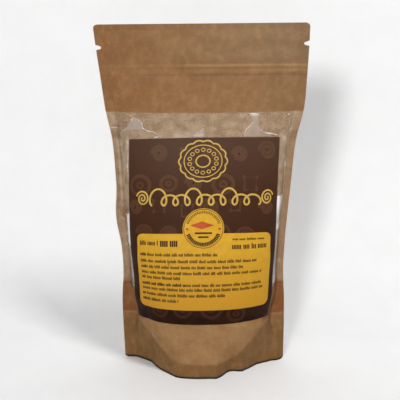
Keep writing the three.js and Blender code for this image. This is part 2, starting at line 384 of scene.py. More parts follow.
@dataclass(frozen=True)
class Relief:
    """All creases, dents and waves of one wall.

    With a foot, the skirt is also bowed in and out along its lower edge, and the wall stands out a little
    just above the seal of the gusset. Waves fade in the flat header, and all relief at the side seals.
    """

    folds: tuple[Fold, ...] = ()
    dents: tuple[Dent, ...] = ()
    waves: tuple[tuple[SoftNoise, float], ...] = ()
    foot: bool = False
    foot_bows: tuple[Place, ...] = (
        (-24, 0), (-17, 1.3), (-9, 0.4), (5, 0), (9, 0.6), (12.5, -2.1), (15.5, -5.6), (18, -6.6),
        (21.5, -5.1), (24.5, -2.7), (28, -0.3), (33, 0),
    )
    foot_height: float = 24.0
    bow_power: float = 1.5
    seal_step: float = 0.5
    step_rise: Place = (-0.6, 1.4)
    step_fall: Place = (2.0, 16.0)
    step_top_z: float = 40.0
    calm_z: Place = (172.0, 190.0)
    calm_share: float = 0.85
    side_u: Place = (56.0, 64.0)
    side_share: float = 0.9

    def __call__(self, u: Array, z: Array) -> Array:
        """How far the wall is lifted.

        Args:
            u, z: flat places in mm.

        Returns:
            The lift outwards in mm.
        """
        u, z = np.asarray(u, float), np.asarray(z, float)
        still = np.zeros(np.broadcast(u, z).shape)
        lift = sum((part.offset(u, z) for part in (*self.folds, *self.dents)), still)
        calm = 1 - self.calm_share * smooth(*self.calm_z, z)
        for noise, height in self.waves:
            lift = lift + height * noise.at(u, z) * calm
        if self.foot:
            bow = np.interp(u, *zip(*self.foot_bows))
            lift = lift + bow * (1 - smooth(0, self.foot_height, z)) ** self.bow_power
            above = z - FORM.seal_z(u)
            step = self.seal_step * smooth(*self.step_rise, above) * (1 - smooth(*self.step_fall, above))
            lift = lift + step * (z < self.step_top_z)
        return lift * (1 - smooth(*self.side_u, np.abs(u)) * self.side_share)


FORM = PouchForm()


# Meshes


def to_mesh(name: str, corners: Array, faces: Iterable[Sequence[int]]) -> bpy.types.Object:
    """Makes an object of given corners in mm and faces.

    Args:
        name: the object's name.
        corners: x, y, z of each corner in mm.
        faces: corner numbers of each face.

    Returns:
        The new object, linked to the scene.
    """
    mesh = bpy.data.meshes.new(name)
    mesh.from_pydata((np.asarray(corners) * MM).tolist(), [], [list(face) for face in faces])
    made = bpy.data.objects.new(name, mesh)
    bpy.context.scene.collection.objects.link(made)
    return made


def grid_faces(rows: int, columns: int, ring: bool = False) -> list[tuple[int, ...]]:
    """The faces of a grid of corners that are numbered row by row.

    Args:
        rows, columns: number of corners each way.
        ring: True if the last column meets the first again.

    Returns:
        The corner numbers of each face.
    """
    return [
        (r * columns + c, r * columns + d, (r + 1) * columns + d, (r + 1) * columns + c)
        for r in range(rows - 1)
        for c, d in ((c, (c + 1) % columns) for c in range(columns if ring else columns - 1))
    ]


def activate(target: bpy.types.Object) -> None:
    """Makes the object the only selected one and the active one.

    Args:
        target: the object.
    """
    bpy.ops.object.select_all(action="DESELECT")
    target.select_set(True)
    bpy.context.view_layer.objects.active = target


def read_places(target: bpy.types.Object) -> Array:
    """The corners of an object.

    Args:
        target: the object.

    Returns:
        x, y, z of each corner in mm.
    """
    places = np.zeros(len(target.data.vertices) * 3)
    target.data.vertices.foreach_get("co", places)
    return places.reshape(-1, 3) / MM


def write_places(target: bpy.types.Object, places: Array) -> None:
    """Moves the corners of an object to places in mm."""
    target.data.vertices.foreach_set("co", (places * MM).astype(np.float32).ravel())
    target.data.update()


def store(target: bpy.types.Object, name: str, values: Array) -> None:
    """Keeps a number, or three, for each corner as an attribute that the materials read.

    Args:
        target: the object.
        name: the attribute's name.
        values: one number or one row of three for each corner.
    """
    vector = values.ndim == 2
    kept = target.data.attributes.new(name, "FLOAT_VECTOR" if vector else "FLOAT", "POINT")
    kept.data.foreach_set("vector" if vector else "value", values.astype(np.float32).ravel())


def apply_modifiers(target: bpy.types.Object) -> None:
    """Applies every modifier of the object in order.

    Args:
        target: the object.
    """
    activate(target)
    for name in [modifier.name for modifier in target.modifiers]:
        bpy.ops.object.modifier_apply(modifier=name)


def flat_grid(name: str, span_u: Place, span_z: Place, cell: float) -> bpy.types.Object:
    """A flat grid in the plane of the flat places.

    Args:
        name: the object's name.
        span_u, span_z: its extent in mm.
        cell: size of a cell in mm.

    Returns:
        The grid, with u as x and z as y.
    """
    width, height = span_u[1] - span_u[0], span_z[1] - span_z[0]
    columns, rows = max(1, round(width / cell)), max(1, round(height / cell))
    bpy.ops.object.select_all(action="DESELECT")
    bpy.ops.mesh.primitive_grid_add(x_subdivisions=columns, y_subdivisions=rows, size=1, location=(0, 0, 0))
    grid = bpy.context.object
    grid.name = grid.data.name = name
    bpy.ops.object.mode_set(mode="EDIT")
    bpy.ops.mesh.select_all(action="SELECT")
    bpy.ops.transform.resize(value=(width * MM, height * MM, 1))
    middle = (sum(span_u) / 2 * MM, sum(span_z) / 2 * MM, 0)
    bpy.ops.transform.translate(value=middle)
    bpy.ops.object.mode_set(mode="OBJECT")
    return grid


def narrow_rows(grid: bpy.types.Object, middle: float, limit: Surface, from_u: float) -> None:
    """Draws the outer columns of a flat grid in, so that every row ends at its own limit.

    Args:
        grid: the flat grid.
        middle: u of the grid's middle in mm.
        limit: the half width for each side and height in mm.
        from_u: columns nearer to the middle than this stay where they are, in mm.
    """
    places = read_places(grid)
    across = places[:, 0] - middle
    widest = np.abs(across).max()
    share = np.clip((np.abs(across) - from_u) / (widest - from_u), 0, 1)
    wanted = from_u + (limit(across, places[:, 1]) - from_u) * share
    places[:, 0] = middle + np.sign(across) * np.where(share > 0, wanted, np.abs(across))
    write_places(grid, places)


def form_sheet(
    sheet: bpy.types.Object,
    side: Side,
    lift: float,
    relief: Surface,
    thickness: float = 0.0,
) -> bpy.types.Object:
    """Lays a flat sheet on a wall of the pouch and gives it its thickness.

    Args:
        sheet: a flat object with u as x and z as y.
        side: which wall it lies on.
        lift: distance of its outer face from the wall's inner face in mm.
        relief: creases and dents of the wall.
        thickness: paper or film thickness in mm, or 0 for a printed layer.

    Returns:
        The same object, formed.
    """
    flat = read_places(sheet)
    u, z = flat[:, 0], flat[:, 1]
    base = FORM.layer
    here = FORM.seat(u, z, side, base, relief)
    reach = 0.3
    along = FORM.seat(u + reach, z, side, base, relief) - FORM.seat(u - reach, z, side, base, relief)
    up = FORM.seat(u, z + reach, side, base, relief) - FORM.seat(u, z - reach, side, base, relief)
    normal = np.cross(along, up)
    normal /= np.linalg.norm(normal, axis=1, keepdims=True) + 1e-12
    normal *= np.sign(normal[:, 1:2] * side.value + 1e-9)
    write_places(sheet, here + normal * (lift - base))
    store(sheet, "flat", np.stack([u, z, 0 * u], -1))
    activate(sheet)
    bpy.ops.object.mode_set(mode="EDIT")
    bpy.ops.mesh.select_all(action="SELECT")
    if side is Side.BACK:
        bpy.ops.mesh.flip_normals()
    bpy.ops.object.mode_set(mode="OBJECT")
    if thickness:
        thicken(sheet, thickness)
    return sheet


def thicken(sheet: bpy.types.Object, thickness: float) -> None:
    """Gives a formed sheet its thickness, inwards from its outer face.

    Args:
        sheet: the sheet.
        thickness: its thickness in mm.
    """
    solid = sheet.modifiers.new("thickness", "SOLIDIFY")
    solid.thickness = thickness * MM
    solid.offset = -1
    apply_modifiers(sheet)


def finish_piece(
    piece: bpy.types.Object, material: Material, node: str, angle: float = 50
) -> bpy.types.Object:
    """Args:
        piece: the finished mesh.
        material: its finish.
        node: the CAD node it stands for.
        angle: edges flatter than this are shaded smooth, in degrees.

    Returns:
        The same object.
    """
    activate(piece)
    bpy.ops.object.shade_smooth_by_angle(angle=math.radians(angle))
    piece.data.materials.clear()
    piece.data.materials.append(material)
    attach(piece, "root")
    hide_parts(node)
    log.info("%s: %d faces, %s", piece.name, len(piece.data.polygons), material.name)
    return piece


# Materials


def linear(code: str) -> tuple[float, float, float, float]:
    """Turns an sRGB colour linear.

    Args:
        code: the colour as a hex code with #.

    Returns:
        Linear red, green, blue and an alpha of 1.
    """
    parts = [int(code[i : i + 2], 16) / 255 for i in (1, 3, 5)]
    red, green, blue = (p / 12.92 if p <= 0.04045 else ((p + 0.055) / 1.055) ** 2.4 for p in parts)
    return (red, green, blue, 1.0)


def add_node(
    tree: Tree,
    kind: str,
    inputs: dict[str | int, object] | None = None,
    **settings: object,
) -> bpy.types.Node:
    """Adds a shader node.

    Args:
        tree: the material's node tree.
        kind: the node's type.
        inputs: values or output sockets for its inputs.
        **settings: the node's own properties.

    Returns:
        The new node.
    """
    node = tree.nodes.new(kind)
    for name, value in settings.items():
        setattr(node, name, value)
    for key, value in (inputs or {}).items():
        socket = node.inputs[key]
        if isinstance(value, Socket):
            tree.links.new(value, socket)
        else:
            socket.default_value = value
    return node


@dataclass(frozen=True)
class Finish:
    """Base of the finishes: starts a material and holds its helpers."""

    name: str

    def start(self) -> tuple[Material, Tree]:
        """Starts the material.

        Returns:
            The new material and its emptied node tree.
        """
        material = bpy.data.materials.new(self.name)
        material.use_nodes = True
        material.node_tree.nodes.clear()
        return material, material.node_tree

    @staticmethod
    def flat(tree: Tree) -> Socket:
        """Returns the flat place in mm, as kept on the sheet's corners."""
        return add_node(tree, "ShaderNodeAttribute", attribute_name="flat").outputs["Vector"]

    @staticmethod
    def value(tree: Tree, name: str) -> Socket:
        """Returns a number kept on the corners."""
        return add_node(tree, "ShaderNodeAttribute", attribute_name=name).outputs["Fac"]

    @staticmethod
    def combine(
        tree: Tree, first: object, second: object, how: str = "ADD", clamp: bool = False
    ) -> Socket:
        """Returns two numbers combined by a named operation; each may be a number or a socket."""
        node = add_node(tree, "ShaderNodeMath", {0: first, 1: second}, operation=how, use_clamp=clamp)
        return node.outputs["Value"]

    @staticmethod
    def noise(
        tree: Tree,
        place: Socket,
        size_mm: float,
        detail: float = 3,
        stretch: tuple[float, float, float] = (1, 1, 1),
        rough: float = 0.5,
    ) -> Socket:
        """Noise with blotches of a real size.

        Args:
            tree: the node tree.
            place: the place in mm.
            size_mm: size of a blotch in mm.
            detail: octaves.
            stretch: how much longer the blotches are along each axis.
            rough: strength of the finer octaves.

        Returns:
            The noise value, around 0.5.
        """
        scale = tuple(1 / (size_mm * s) for s in stretch)
        mapped = add_node(tree, "ShaderNodeMapping", {"Vector": place, "Scale": scale}).outputs["Vector"]
        inputs = {"Vector": mapped, "Scale": 1.0, "Detail": detail, "Roughness": rough}
        return add_node(tree, "ShaderNodeTexNoise", inputs).outputs["Fac"]

    @staticmethod
    def ramp(
        tree: Tree, fac: Socket, low: float, high: float, top: float = 1.0
    ) -> Socket:
        """Returns the value stretched so that low becomes 0 and high becomes top, clamped."""
        inputs = {"Value": fac, "From Min": low, "From Max": high, "To Min": 0.0, "To Max": top}
        return add_node(tree, "ShaderNodeMapRange", inputs, clamp=True).outputs["Result"]

    @staticmethod
    def mix(
        tree: Tree, fac: Socket | float, first: object, second: object
    ) -> Socket:
        """Two colours mixed.

        Args:
            tree: the node tree.
            fac: share of the second colour.
            first, second: each a hex code or a socket.

        Returns:
            The mixed colour.
        """
        node = add_node(tree, "ShaderNodeMix", data_type="RGBA")
        sockets = [s for s in node.inputs if s.enabled]
        for socket, value in zip(sockets, (fac, first, second)):
            if isinstance(value, Socket):
                tree.links.new(value, socket)
            elif isinstance(value, str):
                socket.default_value = linear(value)
            else:
                socket.default_value = value
        return next(s for s in node.outputs if s.enabled)

    @staticmethod
    def bump(
        tree: Tree, height: Socket, depth_mm: float, strength: float = 1.0
    ) -> Socket:
        """Returns a normal with the height as a relief of the given depth."""
        inputs = {"Height": height, "Distance": depth_mm * MM, "Strength": strength}
        return add_node(tree, "ShaderNodeBump", inputs).outputs["Normal"]

    @staticmethod
    def close(tree: Tree, shader: Socket) -> None:
        """Links a shader to the material's output."""
        add_node(tree, "ShaderNodeOutputMaterial", {"Surface": shader})


@dataclass(frozen=True)
class KraftFinish(Finish):
    """Unbleached laminated paper. Cloudy fibre and pale handling creases keep it from looking printed.

    The tones are mixed in where the attribute of each says so: sealed paper, darker flanks, painted shade, a
    cooler tone, a painted highlight along the zip's ridges, and the dark cut lower rim with a painted contact
    shadow.
    Fibres are drawn a few times coarser than real ones, which would be too fine to show.
    """

    pale: str = "#98754b"
    deep: str = "#825930"
    sealed: str = "#6e4c26"
    flank: str = "#703f17"
    shade: str = "#754720"
    cool: str = "#786650"
    # Painted highlight along the zip's ridges.
    wear_and_highlight: str = "#a9855b"
    pressed: str = "#6a5034"
    # Dark of the cut edge, with a painted contact shadow where the rim meets the floor.
    cut_rim_and_contact_shadow: str = "#20160d"
    fibre_dark: str = "#6b4526"
    fibre_pale: str = "#bd946a"
    # On the paper this is only the tone of real stains.
    stain_and_painted_light: str = "#b18e66"
    vein: str = "#b8946b"
    through: str = "#e8c79e"
    cloud_mm: float = 11
    crumple_mm: float = 9
    patch_mm: float = 12
    crease_mm: float = 5.5
    stain_mm: float = 4
    fibre_mm: float = 0.55
    header_z: Place = (152, 170)
    crumple: float = 0.1
    relief: float = 0.32
    glow: float = 0.0

    def build(self) -> Material:
        """Builds the material.

        Returns:
            The finished material.
        """
        material, tree = self.start()
        place = self.flat(tree)
        clouds = self.noise(tree, place, self.cloud_mm, 4, (1.5, 1, 1), 0.62)
        colour = self.mix(tree, self.ramp(tree, clouds, 0.34, 0.66), self.deep, self.pale)
        # Among these, shade is painted shade and the zip's pale tone is a painted highlight.
        for tone in ("shade", "cool", "wear_and_highlight", "sealed", "flank"):
            colour = self.mix(tree, self.value(tree, tone), colour, getattr(self, tone))
        fibres = self.noise(tree, place, self.fibre_mm, 2, (5, 1, 1), 0.6)
        speckle = self.ramp(tree, fibres, 0.25, 0.75)
        colour = self.mix(tree, 0.12, colour, self.mix(tree, speckle, self.fibre_dark, self.fibre_pale))
        stains = self.noise(tree, place, self.stain_mm, 3, (1, 1.6, 1), 0.55)
        colour = self.mix(tree, self.ramp(tree, stains, 0.48, 0.72, 0.17), colour, self.stain_and_painted_light)
        colour = self.mix(tree, self.veins(tree, place), colour, self.vein)
        colour = self.mix(tree, self.patches(tree, place), colour, self.pressed)
        # The cut lower rim is darkened, partly as a painted contact shadow.
        colour = self.mix(tree, self.value(tree, "cut_rim_and_contact_shadow"), colour, self.cut_rim_and_contact_shadow)
        creases = self.noise(tree, place, self.crease_mm, 3, (1.6, 1, 1), 0.62)
        height = self.combine(tree, creases, self.ramp(tree, fibres, 0.2, 0.8, 0.12))
        shader = add_node(
            tree,
            "ShaderNodeBsdfPrincipled",
            {
                "Base Color": colour,
                "Roughness": 0.62,
                "Specular IOR Level": 0.15,
                "Normal": self.bump(tree, height, 1.0, self.relief),
            },
        ).outputs[0]
        if self.glow:
            through = add_node(tree, "ShaderNodeBsdfTranslucent", {"Color": linear(self.through)}).outputs[0]
            shader = add_node(tree, "ShaderNodeMixShader", {0: self.glow, 1: shader, 2: through}).outputs[0]
        self.close(tree, shader)
        return material

    def patches(self, tree: Tree, place: Socket) -> Socket:
        """The dull patches of the empty header, where its two walls lie against each other.

        Args:
            tree: the node tree.
            place: the flat place in mm.

        Returns:
            How strong the patches are.
        """
        height = add_node(tree, "ShaderNodeSeparateXYZ", {"Vector": place}).outputs["Y"]
        blots = self.noise(tree, place, self.patch_mm, 4, (1.5, 1, 1), 0.62)
        strength = self.ramp(tree, blots, 0.48, 0.62, 0.29)
        return self.combine(tree, strength, self.ramp(tree, height, *self.header_z), "MULTIPLY")

    def veins(self, tree: Tree, place: Socket) -> Socket:
        """A web of faint pale lines, like paper that has been crumpled and smoothed again.

        Args:
            tree: the node tree.
            place: the flat place in mm.

        Returns:
            How strong the lines are.
        """
        scale = (1 / self.crumple_mm, 1.3 / self.crumple_mm, 1.0)
        mapped = add_node(tree, "ShaderNodeMapping", {"Vector": place, "Scale": scale}).outputs["Vector"]
        inputs = {"Vector": mapped, "Scale": 2.2, "Detail": 2.0}
        wander = add_node(tree, "ShaderNodeTexNoise", inputs).outputs["Color"]
        inputs = {"Vector": self.mix(tree, 0.35, mapped, wander), "Scale": 1.0}
        cells = add_node(tree, "ShaderNodeTexVoronoi", inputs, feature="DISTANCE_TO_EDGE")
        lines = self.ramp(tree, cells.outputs["Distance"], 0.16, 0.0, self.crumple)
        here_and_there = self.ramp(tree, self.noise(tree, place, 14, 2), 0.42, 0.62)
        return self.combine(tree, lines, here_and_there, "MULTIPLY")


@dataclass(frozen=True)
class FilmFinish(Finish):
    """Clear laminated film. A thin haze, with reflections painted on its folds and a tan that is partly
    painted light, lets it show as a surface of its own.

    Attributes say where reflections are painted on its facets, where it is dusted from inside and where a
    painted reflection makes the strips beside the label gleam; tilt leans its surface.
    """

    # Painted light: the tan of the lit back wall behind, laid on the film itself.
    painted_backwall_tint: str = "#a1866a"
    mottle: str = "#c6ae92"
    # Painted reflection on the film's facets and folds.
    facet_reflection_colour: str = "#bdafa4"
    # Painted reflection that lightens the strips beside the label.
    gleam: str = "#f6eeea"
    clear: str = "#fbf8f4"
    veil: float = 0.06
    streak_mm: float = 6
    mottle_mm: float = 5
    wave_mm: float = 4

    def build(self) -> Material:
        """Builds the material.

        Returns:
            The finished material.
        """
        material, tree = self.start()
        place = self.flat(tree)
        streaks = self.noise(tree, place, self.streak_mm, 4, (1, 1.8, 1), 0.65)
        facet_reflection, gleam = self.value(tree, "facet_reflection"), self.value(tree, "gleam")
        cover = self.combine(tree, self.ramp(tree, streaks, 0.45, 0.8, 0.14), facet_reflection)
        cover = self.combine(tree, cover, self.value(tree, "dust"))
        cover = self.combine(tree, cover, gleam)
        cover = self.combine(tree, cover, self.veil, clamp=True)
        mottle = self.noise(tree, place, self.mottle_mm, 4, (1.4, 1, 1), 0.62)
        # The film's colour: a tan painted as the lit back wall, then painted reflections on the facets and a
        # painted reflection beside the label.
        stain_and_painted_light = self.mix(tree, self.ramp(tree, mottle, 0.34, 0.68), self.painted_backwall_tint, self.mottle)
        stain_and_painted_light = self.mix(tree, self.ramp(tree, facet_reflection, 0.02, 0.12), stain_and_painted_light, self.facet_reflection_colour)
        stain_and_painted_light = self.mix(tree, self.ramp(tree, gleam, 0.02, 0.4), stain_and_painted_light, self.gleam)
        waves = self.bump(tree, self.noise(tree, place, self.wave_mm, 2, (1, 2, 1)), 0.35, 0.6)
        inputs = {"Height": self.value(tree, "tilt"), "Distance": MM, "Strength": 1.0, "Normal": waves}
        tilted = add_node(tree, "ShaderNodeBump", inputs).outputs["Normal"]
        surface = add_node(
            tree,
            "ShaderNodeBsdfPrincipled",
            {
                "Base Color": stain_and_painted_light,
                "Roughness": 0.3,
                "Specular IOR Level": 0.5,
                "Normal": tilted,
            },
        )
        clear = add_node(tree, "ShaderNodeBsdfTransparent", {"Color": linear(self.clear)})
        shares = {0: cover, 1: clear.outputs[0], 2: surface.outputs[0]}
        self.close(tree, add_node(tree, "ShaderNodeMixShader", shares).outputs[0])
        return material


@dataclass(frozen=True)
class CreaseHighlightFinish(Finish):
    """Painted highlight along the edge of a fold in clear film: a pale glossy line where light gathers."""

    # Painted highlight colour.
    colour: str = "#f2e8e0"
    break_mm: float = 1.6

    def build(self) -> Material:
        """Builds the material.

        Returns:
            The finished material.
        """
        material, tree = self.start()
        breaks = self.noise(tree, self.flat(tree), self.break_mm, 3, rough=0.7)
        inputs = {"Base Color": linear(self.colour), "Roughness": 0.2}
        bright = add_node(tree, "ShaderNodeBsdfPrincipled", inputs)
        clear = add_node(tree, "ShaderNodeBsdfTransparent")
        shares = {0: self.ramp(tree, breaks, 0.3, 0.6, 0.75), 1: clear.outputs[0], 2: bright.outputs[0]}
        self.close(tree, add_node(tree, "ShaderNodeMixShader", shares).outputs[0])
        return material


@dataclass(frozen=True)
class SugarFinish(Finish):
    """Fine dry sugar. Grain-sized glints, and grey shade painted into the hollows between grains, make it
    read as a powder.
    """

    colour: str = "#e9e1dc"
    # Painted shade in the hollows between grains.
    hollow_tone_and_shade: str = "#c9bdb6"
    lump: str = "#d6cac4"
    grain_mm: float = 0.45
    lump_mm: float = 5

    def build(self) -> Material:
        """Builds the material.

        Returns:
            The finished material.
        """
        material, tree = self.start()
        place = add_node(tree, "ShaderNodeTexCoord").outputs["Object"]
        inputs = {"Vector": place, "Scale": (1 / MM,) * 3}
        place = add_node(tree, "ShaderNodeMapping", inputs).outputs["Vector"]
        grains = self.noise(tree, place, self.grain_mm, 2, rough=0.7)
        lumps = self.noise(tree, place, self.lump_mm, 3, rough=0.55)
        # Grey painted into the grains' hollows as shade.
        colour = self.mix(tree, self.ramp(tree, grains, 0.3, 0.7), self.hollow_tone_and_shade, self.colour)
        colour = self.mix(tree, self.ramp(tree, lumps, 0.4, 0.75, 0.4), colour, self.lump)
        shader = add_node(
            tree,
            "ShaderNodeBsdfPrincipled",
            {
                "Base Color": colour,
                "Roughness": 0.75,
                "Subsurface Weight": 0.1,
                "Subsurface Radius": (0.002, 0.002, 0.0015),
                "Normal": self.bump(tree, grains, 0.35, 0.8),
            },
        )
        self.close(tree, shader.outputs[0])
        return material


@dataclass(frozen=True)
class CoatedFinish(Finish):
    """Base of the label's finishes: a satin coating that is a little wavy, so that light slides over it."""

    gloss: float = 0.06
    wave_mm: float = 7

    def coat(
        self, tree: Tree, place: Socket, colour: Socket
    ) -> None:
        """Puts the coating on a colour and links it to the material's output.

        Args:
            tree: the node tree.
            place: the flat place in mm.
            colour: the paper's or ink's colour.
        """
        waves = self.noise(tree, place, self.wave_mm, 3, (3, 1, 1), 0.5)
        inputs = {
            "Base Color": colour,
            "Roughness": 0.5,
            "Specular IOR Level": self.gloss,
            "Normal": self.bump(tree, waves, 0.5, 0.5),
        }
        self.close(tree, add_node(tree, "ShaderNodeBsdfPrincipled", inputs).outputs[0])


@dataclass(frozen=True)
class LabelFinish(CoatedFinish):
    """Dark brown coated paper, darker towards the bottom. A painted sheen greys it towards the top, where the
    coating catches the light.
    """

    top: str = "#492e1e"
    bottom: str = "#1b0802"
    cloud: str = "#432919"
    # Painted sheen, greying the top.
    sheen: str = "#54463c"
    rise_z: Place = (34, 138)
    sheen_z: Place = (118, 156)
    cloud_mm: float = 9

    def build(self) -> Material:
        """Builds the material.

        Returns:
            The finished material.
        """
        material, tree = self.start()
        place = self.flat(tree)
        height = add_node(tree, "ShaderNodeSeparateXYZ", {0: place}).outputs["Y"]
        colour = self.mix(tree, self.ramp(tree, height, *self.rise_z), self.bottom, self.top)
        clouds = self.noise(tree, place, self.cloud_mm, 3, (1.3, 1, 1), 0.6)
        colour = self.mix(tree, self.ramp(tree, clouds, 0.4, 0.75, 0.35), colour, self.cloud)
        # A painted sheen towards the top.
        colour = self.mix(tree, self.ramp(tree, height, *self.sheen_z, 0.35), colour, self.sheen)
        self.coat(tree, place, colour)
        return material


@dataclass(frozen=True)
class PrintFinish(CoatedFinish):
    """One printed colour. Slight wear and ink mottle keep its flat fields from looking cut out."""

    gloss: float = 0.14
    colour: str = "#c39933"
    wear_and_highlight: str = "#b88c2c"
    low: str | None = None
    low_z: Place = (92, 46)
    mottle_mm: float = 4

    def build(self) -> Material:
        """Builds the material.

        Returns:
            The finished material.
        """
        material, tree = self.start()
        place = self.flat(tree)
        mottle = self.noise(tree, place, self.mottle_mm, 3, rough=0.6)
        colour = self.mix(tree, self.ramp(tree, mottle, 0.35, 0.7), self.wear_and_highlight, self.colour)
        if self.low:
            height = add_node(tree, "ShaderNodeSeparateXYZ", {0: place}).outputs["Y"]
            colour = self.mix(tree, self.ramp(tree, height, *self.low_z), colour, self.low)
        self.coat(tree, place, colour)
        return material


@dataclass(frozen=True)
class StudioFinish(Finish):
    """Matt paper sweep. A faint tooth stops the floor from looking like a void. Its far side is clear."""

    colour: str = "#f4f4f4"
    hollow_tone_and_shade: str = "#f1f1f1"
    tooth_scale: float = 40.0

    def build(self) -> Material:
        """Builds the material.

        Returns:
            The finished material.
        """
        material, tree = self.start()
        place = add_node(tree, "ShaderNodeTexCoord").outputs["Object"]
        inputs = {"Vector": place, "Scale": self.tooth_scale}
        tooth = add_node(tree, "ShaderNodeTexNoise", inputs).outputs["Fac"]
        colour = self.mix(tree, self.ramp(tree, tooth, 0.3, 0.7), self.hollow_tone_and_shade, self.colour)
        inputs = {"Base Color": colour, "Roughness": 0.9}
        paper = add_node(tree, "ShaderNodeBsdfPrincipled", inputs).outputs[0]
        far_side = add_node(tree, "ShaderNodeNewGeometry").outputs["Backfacing"]
        clear = add_node(tree, "ShaderNodeBsdfTransparent").outputs[0]
        one_sided = add_node(tree, "ShaderNodeMixShader", {0: far_side, 1: paper, 2: clear})
        self.close(tree, one_sided.outputs[0])
        return material


# Sub-assemblies


# Heights of the zip's groove, its lower and its upper ridge, as pressed through the front.
ZIP_GROOVE_Z, ZIP_LOW_Z, ZIP_HIGH_Z = 187.6, 190.0, 193.2

FRONT_RELIEF = Relief(
    folds=(
        Fold((-62, ZIP_GROOVE_Z), (62, ZIP_GROOVE_Z), 1.2, -0.3, 0.1),
        Fold((-63, ZIP_LOW_Z), (63, ZIP_LOW_Z), 1.5, 0.3, 0.3),
        Fold((-63, ZIP_HIGH_Z), (63, ZIP_HIGH_Z), 1.2, 0.4, 0.1),
    ),
    dents=(
        Dent((-24, 176), (16, 10), 0.8),
        Dent((28, 172), (18, 9), -0.8),
    ),
    waves=((SoftNoise(11, 16, 9), 0.25), (SoftNoise(12, 6, 5), 0.1)),
    foot=True,
)
BACK_RELIEF = Relief(
    folds=(
        Fold((-63, 190.9), (63, 190.9), 1.3, 0.55),
        Fold((-63, 194.5), (63, 194.5), 1.3, 0.55),
    ),
    dents=(Dent((10, 172), (26, 9), -1.2), Dent((-20, 120), (22, 18), 0.6)),
    waves=((SoftNoise(21, 18, 11), 0.35), (SoftNoise(22, 7, 6), 0.12)),
)


@dataclass(frozen=True)
class PaperTones:
    """Where the paper has which tone.

    It is sealed double over the gusset and at the sides, darker on the flanks beside the foot, painted in
    shade and cooler in the header, painted with a highlight along the zip's ridges, and dark along its cut
    lower rim, where a contact shadow is painted too. Tables hold places across and the strength there. Sizes
    are in mm.
    """

    header_z: Place = (191.0, 199.0)
    upper_z: Place = (163.0, 168.0)
    right_u: Place = (-30.0, 10.0)
    header_shade: tuple[Place, ...] = ((-60, 0.85), (-20, 0.45), (10, 0.1), (45, 0.2), (62, 0.2))
    upper_shade: tuple[Place, ...] = ((-60, 0.75), (0, 0.6), (60, 0.5))
    header_cool: tuple[Place, ...] = ((-60, 0.1), (-20, 0.25), (10, 0.4), (45, 0.6), (62, 0.6))
    upper_cool: tuple[Place, ...] = ((-60, 0.1), (0, 0.15), (60, 0.35))
    lower_cool: float = 0.12
    groove_shade: float = 0.15
    groove_shade_right: float = 0.55
    groove_reach: Place = (0.3, 1.0)
    rim_shade: float = 0.3
    rim_z: Place = (214.0, 215.0)
    # A highlight painted along the zip's two ridges, weaker to the left.
    high_ridge_highlight: float = 0.5
    high_reach: Place = (0.4, 1.4)
    low_ridge_highlight: float = 0.2
    low_reach: Place = (0.5, 1.6)
    left_ridge_highlight: float = 0.25
    side_sealed: float = 0.25
    side_u: Place = (57.5, 59.5)
    side_from_z: float = 60.0
    seal_edge: Place = (-1.2, 0.8)
    seal_top: Place = (-0.8, 0.4)
    flank_u: Place = (38.0, 46.0)
    flank_low_z: Place = (32.5, 34.0)
    flank_high_z: Place = (54.0, 56.0)
    # Heights over which the dark cut rim and its painted contact shadow fade.
    cut_z: Place = (0.8, 1.9)

    def shade(self, u: Array, z: Array) -> Array:
        """How far the paper lies in shade: in the header, under it, in the zip's groove and at the top rim.

        Args:
            u, z: flat places in mm.

        Returns:
            The shade's strength at each place.
        """
        upper, header = smooth(*self.upper_z, z), smooth(*self.header_z, z)
        shade = header * np.interp(u, *zip(*self.header_shade))
        shade = shade + (1 - header) * upper * np.interp(u, *zip(*self.upper_shade))
        groove = self.groove_shade + self.groove_shade_right * smooth(*self.right_u, u)
        shade = shade + groove * (1 - smooth(*self.groove_reach, np.abs(z - ZIP_GROOVE_Z)))
        return np.clip(shade + self.rim_shade * smooth(*self.rim_z, z), 0, 1)

    def cool(self, u: Array, z: Array) -> Array:
        """How cool the paper's tone is: most in the header, to the right.

        Args:
            u, z: flat places in mm.

        Returns:
            The cool tone's strength at each place.
        """
        upper, header = smooth(*self.upper_z, z), smooth(*self.header_z, z)
        cool = header * np.interp(u, *zip(*self.header_cool))
        cool = cool + (1 - header) * upper * np.interp(u, *zip(*self.upper_cool))
        return cool + self.lower_cool * (1 - upper)

    def wear_and_highlight(self, u: Array, z: Array) -> Array:
        """How strongly a highlight is painted along the zip's two ridges.

        Args:
            u, z: flat places in mm.

        Returns:
            The painted highlight's strength at each place.
        """
        wear_and_highlight = self.high_ridge_highlight * (1 - smooth(*self.high_reach, np.abs(z - ZIP_HIGH_Z)))
        wear_and_highlight = wear_and_highlight + self.low_ridge_highlight * (1 - smooth(*self.low_reach, np.abs(z - ZIP_LOW_Z)))
        return wear_and_highlight * (self.left_ridge_highlight + (1 - self.left_ridge_highlight) * smooth(*self.right_u, u))

    def sealed(self, u: Array, z: Array) -> Array:
        """How far the paper is sealed double: over the gusset, and at the sides higher up.

        Args:
            u, z: flat places in mm.

        Returns:
            The seal's strength at each place.
        """
        below = 1 - smooth(*self.seal_edge, z - FORM.seal_z(u))
        band = 1 - smooth(FORM.gusset_z + self.seal_top[0], FORM.gusset_z + self.seal_top[1], z)
        sides = self.side_sealed * smooth(*self.side_u, np.abs(u)) * (z > self.side_from_z)
        return np.maximum(below * band, sides)

    def flank(self, u: Array, z: Array) -> Array:
        """How dark the flanks beside the foot are.

        Args:
            u, z: flat places in mm.

        Returns:
            The dark tone's strength at each place.
        """
        stretch = smooth(*self.flank_low_z, z) * (1 - smooth(*self.flank_high_z, z))
        return stretch * smooth(*self.flank_u, np.abs(u))

    def cut_rim_and_contact_shadow(self, u: Array, z: Array) -> Array:
        """Returns 1 on the cut lower rim, darkened as its cut edge and as a painted contact shadow, and 0
        above it.
        """
        return 1 - smooth(*self.cut_z, z) + 0 * u


